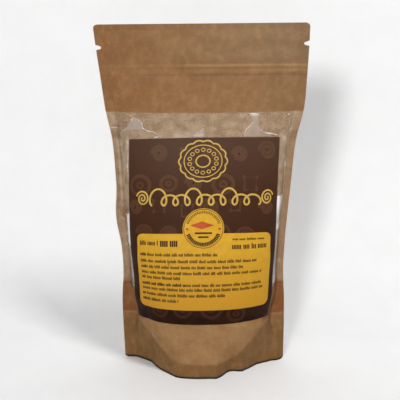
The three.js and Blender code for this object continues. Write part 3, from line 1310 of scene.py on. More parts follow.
@dataclass
class PaperPouch:
    """The kraft walls, front above and below the window and the whole back, and the gusset between them."""

    window: Place = (54.0, 165.5)
    thickness: float = 0.35
    cell: float = 0.75
    top_cell: float = 0.5
    back_cell: float = 1.3
    corner_radius: float = 2.5
    foot_radius: float = 1.8
    notch_z: Place = (204.5, 206.0)
    notch_depth: float = 3.3
    notch_half_height: float = 1.4
    trim_from_u: float = 58.0
    gusset_half: float = 54.5
    gusset_columns: int = 92
    gusset_rows: int = 41
    gusset_thickness: float = 0.3
    gusset_sag: float = 4.0
    gusset_gap: float = 0.25
    pleat_u: Place = (22.0, 40.0)
    tones: PaperTones = PaperTones()

    def edge(self, u: Array, z: Array) -> Array:
        """The half width of the flat wall, less its rounded corners and tear notches.

        Args:
            u, z: flat places in mm.

        Returns:
            The half width at each place in mm.
        """
        above = np.maximum(0, z - (FORM.height - self.corner_radius))
        trim = self.corner_radius - np.sqrt(np.maximum(0, self.corner_radius**2 - above**2))
        below = np.maximum(0, self.foot_radius - z)
        trim = trim + self.foot_radius - np.sqrt(np.maximum(0, self.foot_radius**2 - below**2))
        away = np.abs(z - np.where(u < 0, *self.notch_z)) / self.notch_half_height
        notch = self.notch_depth * np.maximum(0, 1 - away**2) ** 0.35
        return FORM.half_width - trim - notch

    def wall(self, name: str, side: Side, span_z: Place, cell: float) -> bpy.types.Object:
        """Makes one stretch of a wall.

        Args:
            name: the object's name.
            side: which wall.
            span_z: its heights in mm.
            cell: mesh size in mm.

        Returns:
            The formed sheet.
        """
        sheet = flat_grid(name, (-FORM.half_width, FORM.half_width), span_z, cell)
        narrow_rows(sheet, 0, self.edge, self.trim_from_u)
        u, z = read_places(sheet)[:, :2].T
        tones = self.tones
        for tone in (tones.sealed, tones.flank, tones.shade, tones.cool, tones.wear_and_highlight, tones.cut_rim_and_contact_shadow):
            store(sheet, tone.__name__, tone(u, z))
        relief = FRONT_RELIEF if side is Side.FRONT else BACK_RELIEF
        return form_sheet(sheet, side, FORM.layer, relief, self.thickness)

    def gusset(self) -> bpy.types.Object:
        """Makes the folded paper floor between both skirts. It sags to the ground in its middle.

        Returns:
            The formed sheet.
        """
        us = np.linspace(-self.gusset_half, self.gusset_half, self.gusset_columns)
        ts = np.linspace(-1, 1, self.gusset_rows)
        u, t = np.meshgrid(us, ts)
        seal = np.minimum(FORM.seal_z(u), FORM.gusset_z)
        middle = np.maximum(0.2, seal * smooth(*self.pleat_u, np.abs(u)) - self.gusset_sag)
        z = np.maximum(middle + (seal - middle) * t**2, 0)
        front = FORM.seat(u, z, Side.FRONT, -self.gusset_gap, FRONT_RELIEF)
        back = FORM.seat(u, z, Side.BACK, -self.gusset_gap, BACK_RELIEF)
        share = (t[..., None] + 1) / 2
        corners = (front * (1 - share) + back * share).reshape(-1, 3)
        sheet = to_mesh("gusset", corners, [face[::-1] for face in grid_faces(len(ts), len(us))])
        half_fold = 30
        store(sheet, "flat", np.stack([u.ravel(), t.ravel() * half_fold, 0 * u.ravel()], -1))
        store(sheet, "sealed", np.full(u.size, 0.3))
        thicken(sheet, self.gusset_thickness)
        return sheet

    def build(self, kraft: Material, lit: Material) -> list[bpy.types.Object]:
        """Builds and dresses every paper piece.

        Args:
            kraft: the finish of the front and the gusset.
            lit: the finish of the back, which lets some light through.

        Returns:
            The pieces.
        """
        low, high = self.window
        made = [
            (self.wall("kraft_front_top", Side.FRONT, (high, FORM.height), self.top_cell), kraft),
            (self.wall("kraft_front_foot", Side.FRONT, (0, low), self.cell), kraft),
            (self.wall("kraft_back", Side.BACK, (0, FORM.height), self.back_cell), lit),
            (self.gusset(), kraft),
        ]
        return [finish_piece(piece, finish, "kraft_pouch") for piece, finish in made]


@dataclass(frozen=True)
class FilmDust:
    """Where the film is dusted from inside: above the sugar, beside the label and in the side seals."""

    top_share: float = 0.3
    top_z: Place = (138.0, 152.0)
    low_share: float = 0.08
    low_z: Place = (108.0, 116.0)
    seal_u: float = 62.5
    seal_edge: Place = (-0.6, 0.6)
    left_inset: float = 5.5
    left_inset_z: Place = (84.0, 104.0)
    right_inset: float = 1.6
    strip_share: float = 0.6
    strip_u: Place = (46.0, 48.5)
    strip_low_z: Place = (100.0, 112.0)
    strip_high_z: Place = (152.0, 160.0)
    line_share: float = 0.25
    line_u: float = 57.0
    line_reach: Place = (1.0, 4.0)
    seal_share: float = 0.14
    left_share: float = 0.2
    left_low_z: Place = (56.0, 62.0)
    left_high_z: Place = (98.0, 116.0)
    seal_top_share: float = 0.4

    def at(self, u: Array, z: Array) -> Array:
        """How dusted the film is.

        Args:
            u, z: flat places in mm.

        Returns:
            The dust's strength at each place.
        """
        across = np.abs(u)
        above = self.top_share * smooth(*self.top_z, z) + self.low_share * smooth(*self.low_z, z)
        inner = self.seal_u - self.left_inset * (1 - smooth(*self.left_inset_z, z)) * (u < 0)
        outside = smooth(*self.seal_edge, across - (inner - self.right_inset * (u > 0)))
        line = 1 - smooth(*self.line_reach, np.abs(across - self.line_u))
        strip = smooth(*self.strip_u, across) * smooth(*self.strip_low_z, z)
        strip = strip * (1 - smooth(*self.strip_high_z, z)) * (self.strip_share + self.line_share * line)
        left = smooth(*self.left_low_z, z) * (1 - smooth(*self.left_high_z, z)) * (u < 0)
        seal = self.seal_share + self.left_share * left + self.seal_top_share * above
        return np.maximum(above, strip) * (1 - outside) + seal * outside


@dataclass
class WindowFilm:
    """The clear band of film in the front wall, creased beside and above the label.

    Facets, folds, wedges, edge and strip are polygons of flat places: reflections are painted on the facets
    and folds, and a gleaming reflection on the wedges, edge and strip. Each crease, a pale painted highlight,
    holds its places and its greatest width. Sizes are in mm.
    """

    span: Place = (54.0, 165.5)
    half_width: float = 64.6
    thickness: float = 0.15
    cell: float = 0.6
    sunk: float = 0.05
    label_half: float = 48.0
    left_facet: tuple[Place, ...] = (
        (-54.4, 153.6), (-49.6, 156), (-47, 159.2), (-45.6, 162), (-43.8, 162.8), (-39.6, 160.8),
        (-38.2, 158.4), (-37.2, 155.6), (-46, 154.8),
    )
    left_fold: tuple[Place, ...] = (
        (-46, 154.8), (-37.2, 155.2), (-33.4, 154.8), (-29.6, 153.6), (-27, 152.4), (-27, 150.5),
        (-47.6, 149.6),
    )
    right_facet: tuple[Place, ...] = (
        (27.4, 164.4), (33.4, 164), (34, 159.6), (34.6, 156), (36.6, 154), (42.6, 152), (42.6, 151.2),
        (24.8, 151.5), (25.2, 154.8), (27.2, 156.4), (28.8, 158.4), (29.8, 160.8),
    )
    middle_facet: tuple[Place, ...] = ((0.5, 156.8), (-6, 152.5), (0.8, 152.2))
    left_wedge: tuple[Place, ...] = (
        (-60.2, 99.6), (-47.2, 103.2), (-46.8, 95.6), (-46.6, 87.2), (-46.4, 82), (-59, 82.4),
        (-59.8, 87.6), (-54.4, 94.4),
    )
    left_edge: tuple[Place, ...] = ((-46, 104), (-51.5, 100), (-53, 60), (-46, 56))
    right_wedge: tuple[Place, ...] = (
        (48.4, 113.6), (59.8, 111.6), (60.2, 106.8), (60.4, 102), (60.2, 96.8), (60.4, 90), (50, 92),
        (48.4, 102), (47.4, 107.6),
    )
    right_strip: tuple[Place, ...] = ((47.4, 96), (60.2, 94), (60.2, 60), (58, 56), (48, 56))
    # Pale lines along the folds, laid on as painted highlights.
    creases: tuple[tuple[tuple[Place, ...], float], ...] = (
        (((-54.4, 153.6), (-49.6, 156), (-47, 159.2)), 0.35),
        (((-43.4, 162), (-39.6, 160.8), (-38.2, 158.8), (-37.6, 156.4), (-36.2, 155.6), (-34.2, 154.8),
          (-30.8, 154.4), (-28.2, 153.2), (-26.6, 152.4)), 0.45),
        (((-49.4, 164.4), (-47.8, 164), (-45.4, 163.6), (-43.4, 162)), 0.2),
        (((-46, 160.2), (-44.8, 161.8)), 1.2),
        (((-29.8, 151.2), (-27.4, 151.6)), 0.9),
        (((26.8, 164.6), (30.6, 164.6), (32.8, 164.4), (33.6, 163.6)), 0.22),
        (((30, 160), (28.8, 158.4), (27.2, 156.8), (25.4, 155.2), (24.8, 152)), 0.4),
        (((34.6, 156), (35.4, 154.8), (36.6, 154)), 0.3),
        (((36.6, 154), (38.6, 153.2), (41.2, 152.8), (44.8, 152), (48.2, 151.2)), 0.75),
        (((53.4, 163.2), (55.8, 163.6)), 0.7),
        (((54.4, 161.2), (56.6, 159.2), (57, 156.8), (56.6, 154.8)), 0.3),
        (((0.6, 157), (-2.5, 154.6), (-6, 152.6)), 0.25),
        (((-48.2, 142.4), (-48.4, 139.2), (-49, 135.2), (-49.2, 131.6), (-48.6, 128.4), (-48.4, 125.2)),
         0.9),
        (((56.6, 138.8), (59.8, 133.2), (60.2, 128)), 0.8),
    )

    dusting: FilmDust = FilmDust()

    @staticmethod
    def cover(u: Array, z: Array, parts: Iterable[tuple[Sequence[Place], float]], soft: float) -> Array:
        """The sum of several soft polygons.

        Args:
            u, z: flat places in mm.
            parts: each polygon's corners, and its strength.
            soft: width of the soft edges in mm.

        Returns:
            The summed strength at each place.
        """
        return sum((share * polygon_cover(u, z, corners, soft) for corners, share in parts), 0 * (u + z))

    def relief(self, u: Array, z: Array) -> Array:
        """Returns the film's own facets, as a lift in mm on top of the wall's relief."""
        parts = ((self.left_facet, 0.35), (self.right_facet, 0.35), (self.middle_facet, 0.2))
        return FRONT_RELIEF(u, z) + self.cover(u, z, parts, 1.0)

    def facet_reflection(self, u: Array, z: Array) -> Array:
        """How strongly reflections are painted on the film's facets and folds.

        Args:
            u, z: flat places in mm.

        Returns:
            The painted reflection's strength at each place.
        """
        left = ((self.left_facet, 0.1), (self.left_fold, 0.04))
        right = ((self.right_facet, 0.08), (self.middle_facet, 0.1))
        return self.cover(u, z, (*left, *right), 0.7)

    def dust(self, u: Array, z: Array) -> Array:
        """Returns how dusted the film is from inside."""
        return self.dusting.at(u, z)

    def gleam(self, u: Array, z: Array) -> Array:
        """How strongly a painted reflection makes the slanted strips beside the label gleam.

        Args:
            u, z: flat places in mm.

        Returns:
            The gleam's strength at each place.
        """
        left = ((self.left_wedge, 0.44), (self.left_edge, 0.24))
        right = ((self.right_wedge, 0.54), (self.right_strip, 0.34))
        return self.cover(u, z, (*left, *right), 2.4)

    def tilt(self, u: Array, z: Array) -> Array:
        """Returns a slant in mm that turns the strips beside the label to the front, as folds do."""
        return 0.75 * np.clip(np.abs(u) - self.label_half, 0, 13) * (1 - smooth(146, 156, z))

    def build(self, film: Material, crease: Material) -> list[bpy.types.Object]:
        """Builds and dresses the film and the painted highlights along its creases.

        Args:
            film: the finish of the band.
            crease: the finish of the painted highlights along the creases.

        Returns:
            The pieces.
        """
        sheet = flat_grid("window_film_band", (-self.half_width, self.half_width), self.span, self.cell)
        u, z = read_places(sheet)[:, :2].T
        for look in (self.facet_reflection, self.dust, self.gleam, self.tilt):
            store(sheet, look.__name__, look(u, z))
        form_sheet(sheet, Side.FRONT, FORM.layer - self.sunk, self.relief, self.thickness)
        lines = PrintSheet("window_film_crease_highlights")
        for path, width in self.creases:
            lines.taper(path, width)
        pale = lines.lay(FORM.layer + 0.02, self.relief)
        return [
            finish_piece(sheet, film, "window_film"),
            finish_piece(pale, crease, "window_film", 80),
        ]


@dataclass
class SugarHeap:
    """The sugar inside: it fills the pouch up to its sloping top and rests on the gusset."""

    top_z: float = 127.0
    fall: float = 14.0
    wave: float = 2.5
    humps: Place = (17.0, 13.0)
    cell: float = 1.0
    reach: float = 59.2
    low_draw: float = 3.4
    low_draw_z: Place = (46.0, 58.0)
    gap: float = 0.05
    back_gap: float = 0.4
    low_inset: float = 1.1
    low_inset_z: Place = (46.0, 54.0)
    side_inset: float = 1.9
    side_inset_u: Place = (48.0, 56.0)
    corner_inset: float = 0.8
    corner_inset_u: Place = (42.0, 47.0)
    corner_inset_z: Place = (56.0, 64.0)
    depth: float = 28.0
    sag: float = 4.0
    pleat_u: Place = (22.0, 40.0)
    grain: float = 0.12
    base_rings: int = 24
    ring_end_z: float = 186.0

    def top(self, x: Array, y: Array) -> Array:
        """Returns the height of the sugar's top at x and y."""
        hump = np.cos(x / self.humps[0]) * np.cos(y / self.humps[1])
        return self.top_z - self.fall * x / (FORM.half_width - FORM.side_seal) + self.wave * hump

    def ring(self, z: float, shrink: float) -> Array:
        """Places around the sugar at one height.

        Args:
            z: the height in mm.
            shrink: how far the ring is drawn in towards the middle plane, 1 for not at all.

        Returns:
            The places, along the front to the right and along the back to the left.
        """
        reach = self.reach - self.low_draw * (1 - float(smooth(*self.low_draw_z, z)))
        u = np.linspace(-reach, reach, round(2 * reach / self.cell) + 1)
        across = np.abs(u)
        low = 1 - float(smooth(*self.low_inset_z, z))
        corner = smooth(*self.corner_inset_u, across) * (1 - float(smooth(*self.corner_inset_z, z)))
        inset = -self.gap - self.low_inset * low - self.side_inset * smooth(*self.side_inset_u, across)
        inset = inset - self.corner_inset * corner
        heights = np.full(u.shape, float(z))
        front = FORM.seat(u, heights, Side.FRONT, inset, FRONT_RELIEF)
        back = FORM.seat(u, heights, Side.BACK, inset - self.back_gap, BACK_RELIEF)
        middle = FORM.sway(front[:, 0], heights)
        front[:, 1] = np.minimum(front[:, 1], middle - 0.06)
        back[:, 1] = np.maximum(back[:, 1], middle + 0.02)
        for side in (front, back):
            side[:, 1] = middle + (side[:, 1] - middle) * shrink
        return np.vstack([front, back[::-1]])

    def build(self, finish: Material) -> bpy.types.Object:
        """Builds and dresses the sugar.

        Rings fill the pouch to above the sugar. Each corner is then pressed between the gusset, which is its
        floor, and the sloping top, with the grain as a small random shift.

        Args:
            finish: the sugar's finish.

        Returns:
            The piece.
        """
        rings = [self.ring(0.5, shrink) for shrink in np.linspace(0.02, 1, self.base_rings)]
        rings += [self.ring(z, 1) for z in np.arange(1.5, self.ring_end_z, self.cell)]
        size, count = len(rings[0]), len(rings)
        corners = np.vstack(rings)
        rng = np.random.default_rng(5)
        corners[:, 1] += np.sign(-corners[:, 1]) * rng.uniform(0, 0.1, len(corners))
        under = np.minimum(FORM.seal_z(corners[:, 0]), FORM.gusset_z)
        middle = under * smooth(*self.pleat_u, np.abs(corners[:, 0])) - self.sag
        deep = np.clip(np.abs(corners[:, 1]) / self.depth, 0, 1) ** 2
        floor = np.maximum(0.9, middle * (1 - deep) + under * deep + 0.5)
        grain = rng.uniform(-self.grain, self.grain, len(corners))
        roof = self.top(corners[:, 0], corners[:, 1]) + grain
        corners[:, 2] = np.clip(corners[:, 2], floor, roof)
        ends = np.full(len(corners), self.reach)
        left, right = FORM.look("x", -ends, corners[:, 2]), FORM.look("x", ends, corners[:, 2])
        corners[:, 0] = np.clip(corners[:, 0], left, right)
        faces = grid_faces(count, size, ring=True)
        faces += [tuple(range(size))[::-1], tuple((count - 1) * size + i for i in range(size))]
        heap = to_mesh("sugar_heap", corners, faces)
        return finish_piece(heap, finish, "sugar", 80)


# The label and its print


def print_bow(u: Array, z: Array) -> Array:
    """How far the print rises to the right and sinks towards the sides, where the paper lies slanted.

    Args:
        u, z: flat places in mm.

    Returns:
        The rise in mm.
    """
    half_width, climb = 47, 0.009
    sink_at = ((35, 0), (45, 0), (91, 2.8), (150, 1.6))
    sink = np.interp(z, *zip(*sink_at))
    return climb * u - sink * (u / half_width) ** 2


def disc(z: float, radius: float) -> Callable[[Array], Array]:
    """Returns the half width of a disc, as a function of height."""
    return lambda height: np.sqrt(np.maximum(0, radius**2 - (height - z) ** 2))


@dataclass
class PrintSheet:
    """One printed colour: strokes, bars and fields, gathered flat and then laid on the label."""

    name: str
    lift: float = 0.0
    corners: list[Place] = field(default_factory=list)
    faces: list[tuple[int, ...]] = field(default_factory=list)

    def _add(self, corners: Sequence[Place], faces: Iterable[tuple[int, ...]]) -> None:
        """Takes in more corners and faces.

        Args:
            corners: flat places in mm.
            faces: the faces between them, numbered from 0.
        """
        base = len(self.corners)
        self.corners.extend(corners)
        self.faces.extend(tuple(base + i for i in face) for face in faces)

    def _ribbon(self, left: Array, right: Array, closed: bool = False) -> None:
        """Adds a strip of faces between two rows of places.

        Args:
            left, right: the places on each side in mm.
            closed: True if it comes back to its start.
        """
        count = len(left)
        ends = range(count if closed else count - 1)
        faces = [(i, i + count, (i + 1) % count + count, (i + 1) % count) for i in ends]
        self._add([tuple(place) for place in np.vstack([left, right])], faces)

    def stroke(self, path: Sequence[Place], width: float, closed: bool = False) -> None:
        """Adds a line of even width.

        Args:
            path: places along it in mm.
            width: its width in mm.
            closed: True if it comes back to its start.
        """
        line = np.array(path, float)
        if closed:
            before, after = np.roll(line, 1, 0), np.roll(line, -1, 0)
        else:
            before, after = np.vstack([line[:1], line[:-1]]), np.vstack([line[1:], line[-1:]])
        run = after - before
        run /= np.linalg.norm(run, axis=1, keepdims=True) + 1e-9
        side = np.stack([-run[:, 1], run[:, 0]], -1) * width / 2
        self._ribbon(line + side, line - side, closed)

    def field(self, middle: float, span_z: Place, half: Callable[[Array], Array], cell: float) -> None:
        """Adds a filled field with its own half width in each row.

        Rows lie closer together towards its lower and upper ends, where its outline turns.

        Args:
            middle: u of its middle in mm.
            span_z: its heights in mm.
            half: half width at each z in mm.
            cell: mesh size in mm.
        """
        low, high = span_z
        rows = max(2, round((high - low) / cell) + 1)
        eased = (1 - np.cos(np.linspace(0, np.pi, rows))) / 2
        z = low + (high - low) * (0.35 * eased + 0.65 * np.linspace(0, 1, rows))
        widths = np.maximum(half(z), 0.02)
        columns = max(2, round(2 * widths.max() / cell) + 1)
        across = np.linspace(-1, 1, columns)
        corners = [(middle + a * w, h) for h, w in zip(z, widths) for a in across]
        self._add(corners, grid_faces(rows, columns))

    def bar(self, u: float, z: float, width: float, height: float) -> None:
        """Adds a small bar, in steps short enough to follow the label's curve.

        Args:
            u, z: its lower left corner in mm.
            width, height: its size in mm.
        """
        longest_step = 1.2
        steps = max(1, math.ceil(width / longest_step))
        corners = [(u + width * i / steps, z + j * height) for j in (0, 1) for i in range(steps + 1)]
        self._add(corners, grid_faces(2, steps + 1))

    def taper(self, path: Sequence[Place], width: float) -> None:
        """Adds a line that thins out to both ends.

        Args:
            path: places along it in mm.
            width: its greatest width in mm.
        """
        step = 0.5
        corners = np.array(path, float)
        lengths = np.append(0, np.cumsum(np.hypot(*np.diff(corners, axis=0).T)))
        count = max(3, math.ceil(lengths[-1] / step))
        along = np.linspace(0, lengths[-1], count + 1)
        line = np.stack([np.interp(along, lengths, corners[:, axis]) for axis in (0, 1)], -1)
        run = np.gradient(line, axis=0)
        run /= np.linalg.norm(run, axis=1, keepdims=True)
        swell = width / 2 * (0.25 + 0.75 * np.sin(np.linspace(0, np.pi, count + 1)))[:, None]
        side = np.stack([-run[:, 1], run[:, 0]], -1) * swell
        self._ribbon(line + side, line - side)

    def lay(self, lift: float, relief: Surface) -> bpy.types.Object:
        """Lays the gathered shapes on the front wall.

        Args:
            lift: distance from the wall's inner face in mm.
            relief: creases and dents of the surface that they lie on.

        Returns:
            The formed object.
        """
        flat = np.array(self.corners, float)
        sheet = to_mesh(self.name, np.column_stack([flat, np.zeros(len(flat))]), self.faces)
        form_sheet(sheet, Side.FRONT, lift, relief)
        self.face_outwards(sheet)
        return sheet

    def build(self, material: Material) -> bpy.types.Object:
        """Lays the print on the label and dresses it.

        Args:
            material: the ink's finish.

        Returns:
            The piece.
        """
        bowed = np.array(self.corners, float)
        bowed[:, 1] += print_bow(bowed[:, 0], bowed[:, 1])
        self.corners = [tuple(place) for place in bowed]
        sheet = self.lay(Label.face + self.lift, FRONT_RELIEF)
        return finish_piece(sheet, material, "label", 80)

    @staticmethod
    def face_outwards(sheet: bpy.types.Object) -> None:
        """Turns the faces that look into the pouch.

        Args:
            sheet: the laid shapes.
        """
        mesh = sheet.data
        wrong = [face.index for face in mesh.polygons if face.normal.y > 0]
        for index in wrong:
            mesh.polygons[index].flip()
        mesh.update()


def circle(
    u: float, z: float, ru: float, rz: float, count: int, petals: int = 0, deep: float = 0.0
) -> list[Place]:
    """Places around an oval, with petals if wanted.

    Args:
        u, z: its centre in mm.
        ru, rz: its radii in mm.
        count: number of places.
        petals: number of petals around it.
        deep: depth of the hollows between petals, as a share of the radius.

    Returns:
        The list of places.
    """
    made = []
    for i in range(count):
        angle = 2 * math.pi * i / count
        share = 1 - deep * (1 - abs(math.cos(angle * petals / 2))) if petals else 1
        made.append((u + ru * share * math.cos(angle), z + rz * share * math.sin(angle)))
    return made


def spiral(u: float, z: float, radii: Place, shrink: Place, angles: Array) -> list[Place]:
    """Places along a spiral.

    Args:
        u, z: its centre in mm.
        radii: its radii across and up where it starts, in mm. A negative one mirrors it.
        shrink: how much each radius loses for each radian, in mm.
        angles: the angles along it in radians.

    Returns:
        The list of places.
    """
    return [
        (u + (radii[0] - shrink[0] * a) * math.cos(a), z + (radii[1] - shrink[1] * a) * math.sin(a))
        for a in angles
    ]


@dataclass
class Label:
    """The stuck-on label: a dark sheet with a generic print of gold lines, a yellow field and bars.

    Each ring of the biscuit holds its radii across and up, its number of places, the depth of its hollows
    and its line's width. Sizes are in mm.
    """

    span_z: Place = (35.7, 151.3)
    span_u: Place = (-47.2, 48.3)
    thickness: float = 0.2
    cell: float = 0.75
    face: float = 0.7
    ink_step: float = 0.05
    biscuit_place: Place = (0.2, 137.4)
    biscuit_rings: tuple[tuple[float, ...], ...] = (
        (14.6, 12.3, 220, 0.07, 0.85), (11.4, 9.5, 120, 0, 0.6), (4.2, 3.5, 80, 0, 0.8),
    )
    biscuit_dots: int = 14
    dot_ring: Place = (8.2, 6.8)
    dot_size: Place = (1.1, 0.95)
    scroll_u: Place = (-30.4, 34.2)
    scroll_z: float = 111.2
    scroll_loops: int = 9
    curl_u: Place = (-36.6, 40.0)
    curl_z: float = 115.4
    panel_u: float = 1.2
    panel_z: Place = (45.0, 93.8)
    panel_half: float = 42.6
    panel_radius: float = 3.6
    badge_place: Place = (1.0, 96.6)
    badge_radius: float = 12.6
    badge_ring: Place = (11.9, 0.35)
    badge_ticks: int = 60
    tick_end: float = 11.0
    bold_tick: Place = (8.6, 0.8)
    fine_tick: Place = (9.4, 0.5)
    tick_free_cosine: float = 0.965
    badge_dot: Place = (9.9, 0.9)
    lozenge_place: Place = (-0.8, 2.2)
    lozenge_half: Place = (7.4, 2.4)
    badge_bars: tuple[tuple[float, ...], ...] = ((-5.2, -3.1, 10.4, 1.0), (-3.2, -5.6, 6.4, 1.0))

    def sheet(self, paper: Material) -> bpy.types.Object:
        """Builds and dresses the label's paper.

        Args:
            paper: its finish.

        Returns:
            The piece.
        """
        sheet = flat_grid("label_sheet", self.span_u, self.span_z, self.cell)
        flat = read_places(sheet)
        flat[:, 1] += print_bow(flat[:, 0], flat[:, 1])
        write_places(sheet, flat)
        form_sheet(sheet, Side.FRONT, self.face, FRONT_RELIEF, self.thickness)
        return finish_piece(sheet, paper, "label")

    def biscuit(self, gold: PrintSheet) -> None:
        """Draws a round scalloped biscuit in gold lines.

        Args:
            gold: the gold print.
        """
        u, z = self.biscuit_place
        for across, up, count, deep, width in self.biscuit_rings:
            petals = self.biscuit_dots if deep else 0
            gold.stroke(circle(u, z, across, up, count, petals, deep), width, True)
        across, up = self.dot_ring
        for i in range(self.biscuit_dots):
            angle = 2 * math.pi * (i + 0.5) / self.biscuit_dots
            dot = circle(u + across * math.cos(angle), z + up * math.sin(angle), *self.dot_size, 24)
            gold.stroke(dot, 0.5, True)

    def scrolls(self, gold: PrintSheet) -> None:
        """Draws a band of looping scrolls in gold lines, every third loop taller, with a curl at each end.

        Args:
            gold: the gold print.
        """
        start, end = self.scroll_u
        pitch, low_loop, tall_loop, steps = (end - start) / self.scroll_loops, 3.1, 5.0, 48
        path = []
        for i in range(self.scroll_loops * steps + 1):
            angle = 2 * math.pi * i / steps
            rise = tall_loop if i // steps % 3 == 0 else low_loop
            u = start + pitch * i / steps - low_loop * math.sin(angle)
            path.append((u, self.scroll_z + rise * (1 - math.cos(angle))))
        gold.stroke(path, 1.15)
        angles = np.linspace(0.3, 14.2, 150)
        for side, u in zip((1, -1), self.curl_u):
            curl = spiral(u, self.curl_z, (-side * 4.3, 4.9), (-side * 0.29, 0.33), angles)
            gold.stroke(curl, 1.0)

    def panel(self, yellow: PrintSheet) -> None:
        """Lays down the yellow field with rounded corners, a little narrower at its top.

        Args:
            yellow: the yellow print.
        """
        low, high = self.panel_z
        radius = self.panel_radius

        def reach(z: Array) -> Array:
            """The panel's half width.

            Args:
                z: heights in mm.

            Returns:
                The half width at each height in mm.
            """
            edge = np.maximum(0, radius - np.minimum(z - low, high - z))
            half = self.panel_half - 0.9 * smooth(74, 86, z)
            return half - radius + np.sqrt(np.maximum(0, radius**2 - edge**2))

        yellow.field(self.panel_u, (low, high), reach, 0.9)

    def badge(self, yellow: PrintSheet, dark: PrintSheet, warm: PrintSheet) -> None:
        """Draws the badge: a disc with a dark ring, ticks, a warm lozenge, two warm dots and two bars.

        Args:
            yellow, dark, warm: the three prints that it uses.
        """
        u, z = self.badge_place
        radius = self.badge_radius
        yellow.field(u, (z - radius, z + radius), disc(z, radius), 0.7)
        ring, ring_width = self.badge_ring
        dark.stroke(circle(u, z, ring, ring, 120), ring_width, True)
        for i in range(self.badge_ticks):
            angle = 2 * math.pi * (i + 0.5) / self.badge_ticks
            if abs(math.cos(angle)) > self.tick_free_cosine:
                continue
            start, width = self.bold_tick if math.sin(angle) < 0 else self.fine_tick
            reaches = (start, self.tick_end)
            dark.stroke([(u + r * math.cos(angle), z + r * math.sin(angle)) for r in reaches], width)
        away, dot = self.badge_dot
        for side in (-1, 1):
            warm.field(u + side * away, (z - dot, z + dot), disc(z, dot), 0.5)
        lozenge_u, lozenge_z = u + self.lozenge_place[0], z + self.lozenge_place[1]
        half, tall = self.lozenge_half
        warm.field(
            lozenge_u,
            (lozenge_z - tall, lozenge_z + tall),
            lambda height: half * np.maximum(0, 1 - np.abs(height - lozenge_z) / tall),
            0.6,
        )
        for bar_u, bar_z, width, height in self.badge_bars:
            dark.bar(u + bar_u, z + bar_z, width, height)

    def words(self, dark: PrintSheet) -> None:
        """Draws rows of fine bars where a pack carries its small print.

        Args:
            dark: the dark print.
        """
        rng = np.random.default_rng(8)
        left, none_bold = -38.6, -60

        def row(
            z: float, start: float, end: float, bold_to: float, height: float = 1.5, bold: float = 1.0
        ) -> None:
            """Draws one row, in groups of bars of random length.

            Args:
                z: its height in mm.
                start, end: its stretch in mm.
                bold_to: bars to the left of this are heavier.
                height: height of a bar in mm.
                bold: width of its bars and gaps against those of the small print.
            """
            u = start
            while u < end:
                word_end = min(u + rng.uniform(2.2, 6.8), end)
                while u < word_end:
                    heavy = u < bold_to
                    tall = height * (1.0 if rng.random() < 0.68 else 1.35)
                    dark.bar(u, z - height / 2, (0.66 if heavy else 0.5) * bold, tall)
                    u += (0.82 if heavy else 0.72) * bold
                u += 0.75 * bold

        row(87.6, -38.4, -26.8, none_bold, 2.3, 1.15)
        row(87.6, -25.6, -15.8, 0, 3.8, 1.5)
        row(90.0, 18.8, 38.0, none_bold, 1.1)
        row(85.2, 18.6, 39.2, none_bold, 2.7, 1.35)
        rows = (
            (80.2, 9.5, -34.5), (76.0, 33.6, none_bold), (72.2, 25.0, -35.5), (68.5, 36.8, none_bold),
            (65.2, -14, none_bold), (61.0, 37.6, -11), (57.9, 38.4, none_bold), (54.2, 13.8, -36.5),
            (50.5, -14.6, -29),
        )
        for z, end, bold_to in rows:
            row(z, left, end, bold_to)

    def ghosts(self, faint: PrintSheet) -> None:
        """Draws the tone-on-tone pattern of rings, swirls and squares behind the print.

        Args:
            faint: the faint print.
        """
        rng = np.random.default_rng(31)
        for row in range(7):
            for column in range(6):
                u = -40 + 16.2 * column + (3 if row % 2 else -3) + rng.uniform(-2, 2)
                z = 43.5 + 16.4 * row + rng.uniform(-2, 2)
                size = rng.uniform(4.6, 6.4)
                if abs(u) + size > 46.5 or z + size > 149.5 or z - size < 36:
                    continue
                kind = rng.integers(3)
                if kind == 0:
                    faint.stroke(circle(u, z, size, size * 0.9, 60), 2.2, True)
                    faint.stroke(circle(u, z, size * 0.3, size * 0.27, 40), 1.6, True)
                elif kind == 1:
                    growth = -size / 15.8
                    angles = np.linspace(0, 5 * math.pi, 90)
                    faint.stroke(spiral(u, z, (0, 0), (growth, growth), angles), 1.9)
                else:
                    box = [(u - size * 0.7, z + size * 0.7), (u - size * 0.6, z - size * 0.7),
                           (u + size * 0.6, z - size * 0.7), (u + size * 0.7, z + size * 0.7)]
                    faint.stroke(box, 2.0, True)

    def build(self, paper: Material, inks: dict[Ink, Material]) -> list[bpy.types.Object]:
        """Builds the label and every printed colour.

        Args:
            paper: the paper's finish.
            inks: the finish of each ink.

        Returns:
            The pieces.
        """
        made = [self.sheet(paper)]
        faint = PrintSheet("print_tone", self.ink_step)
        gold = PrintSheet("print_gold", 2 * self.ink_step)
        yellow = PrintSheet("print_yellow", 2 * self.ink_step)
        dark = PrintSheet("print_dark", 3 * self.ink_step)
        warm = PrintSheet("print_orange", 3 * self.ink_step)
        self.ghosts(faint)
        self.biscuit(gold)
        self.scrolls(gold)
        self.panel(yellow)
        self.badge(yellow, dark, warm)
        self.words(dark)
        for layer, ink in zip((faint, gold, yellow, dark, warm), Ink):
            made.append(layer.build(inks[ink]))
        return made


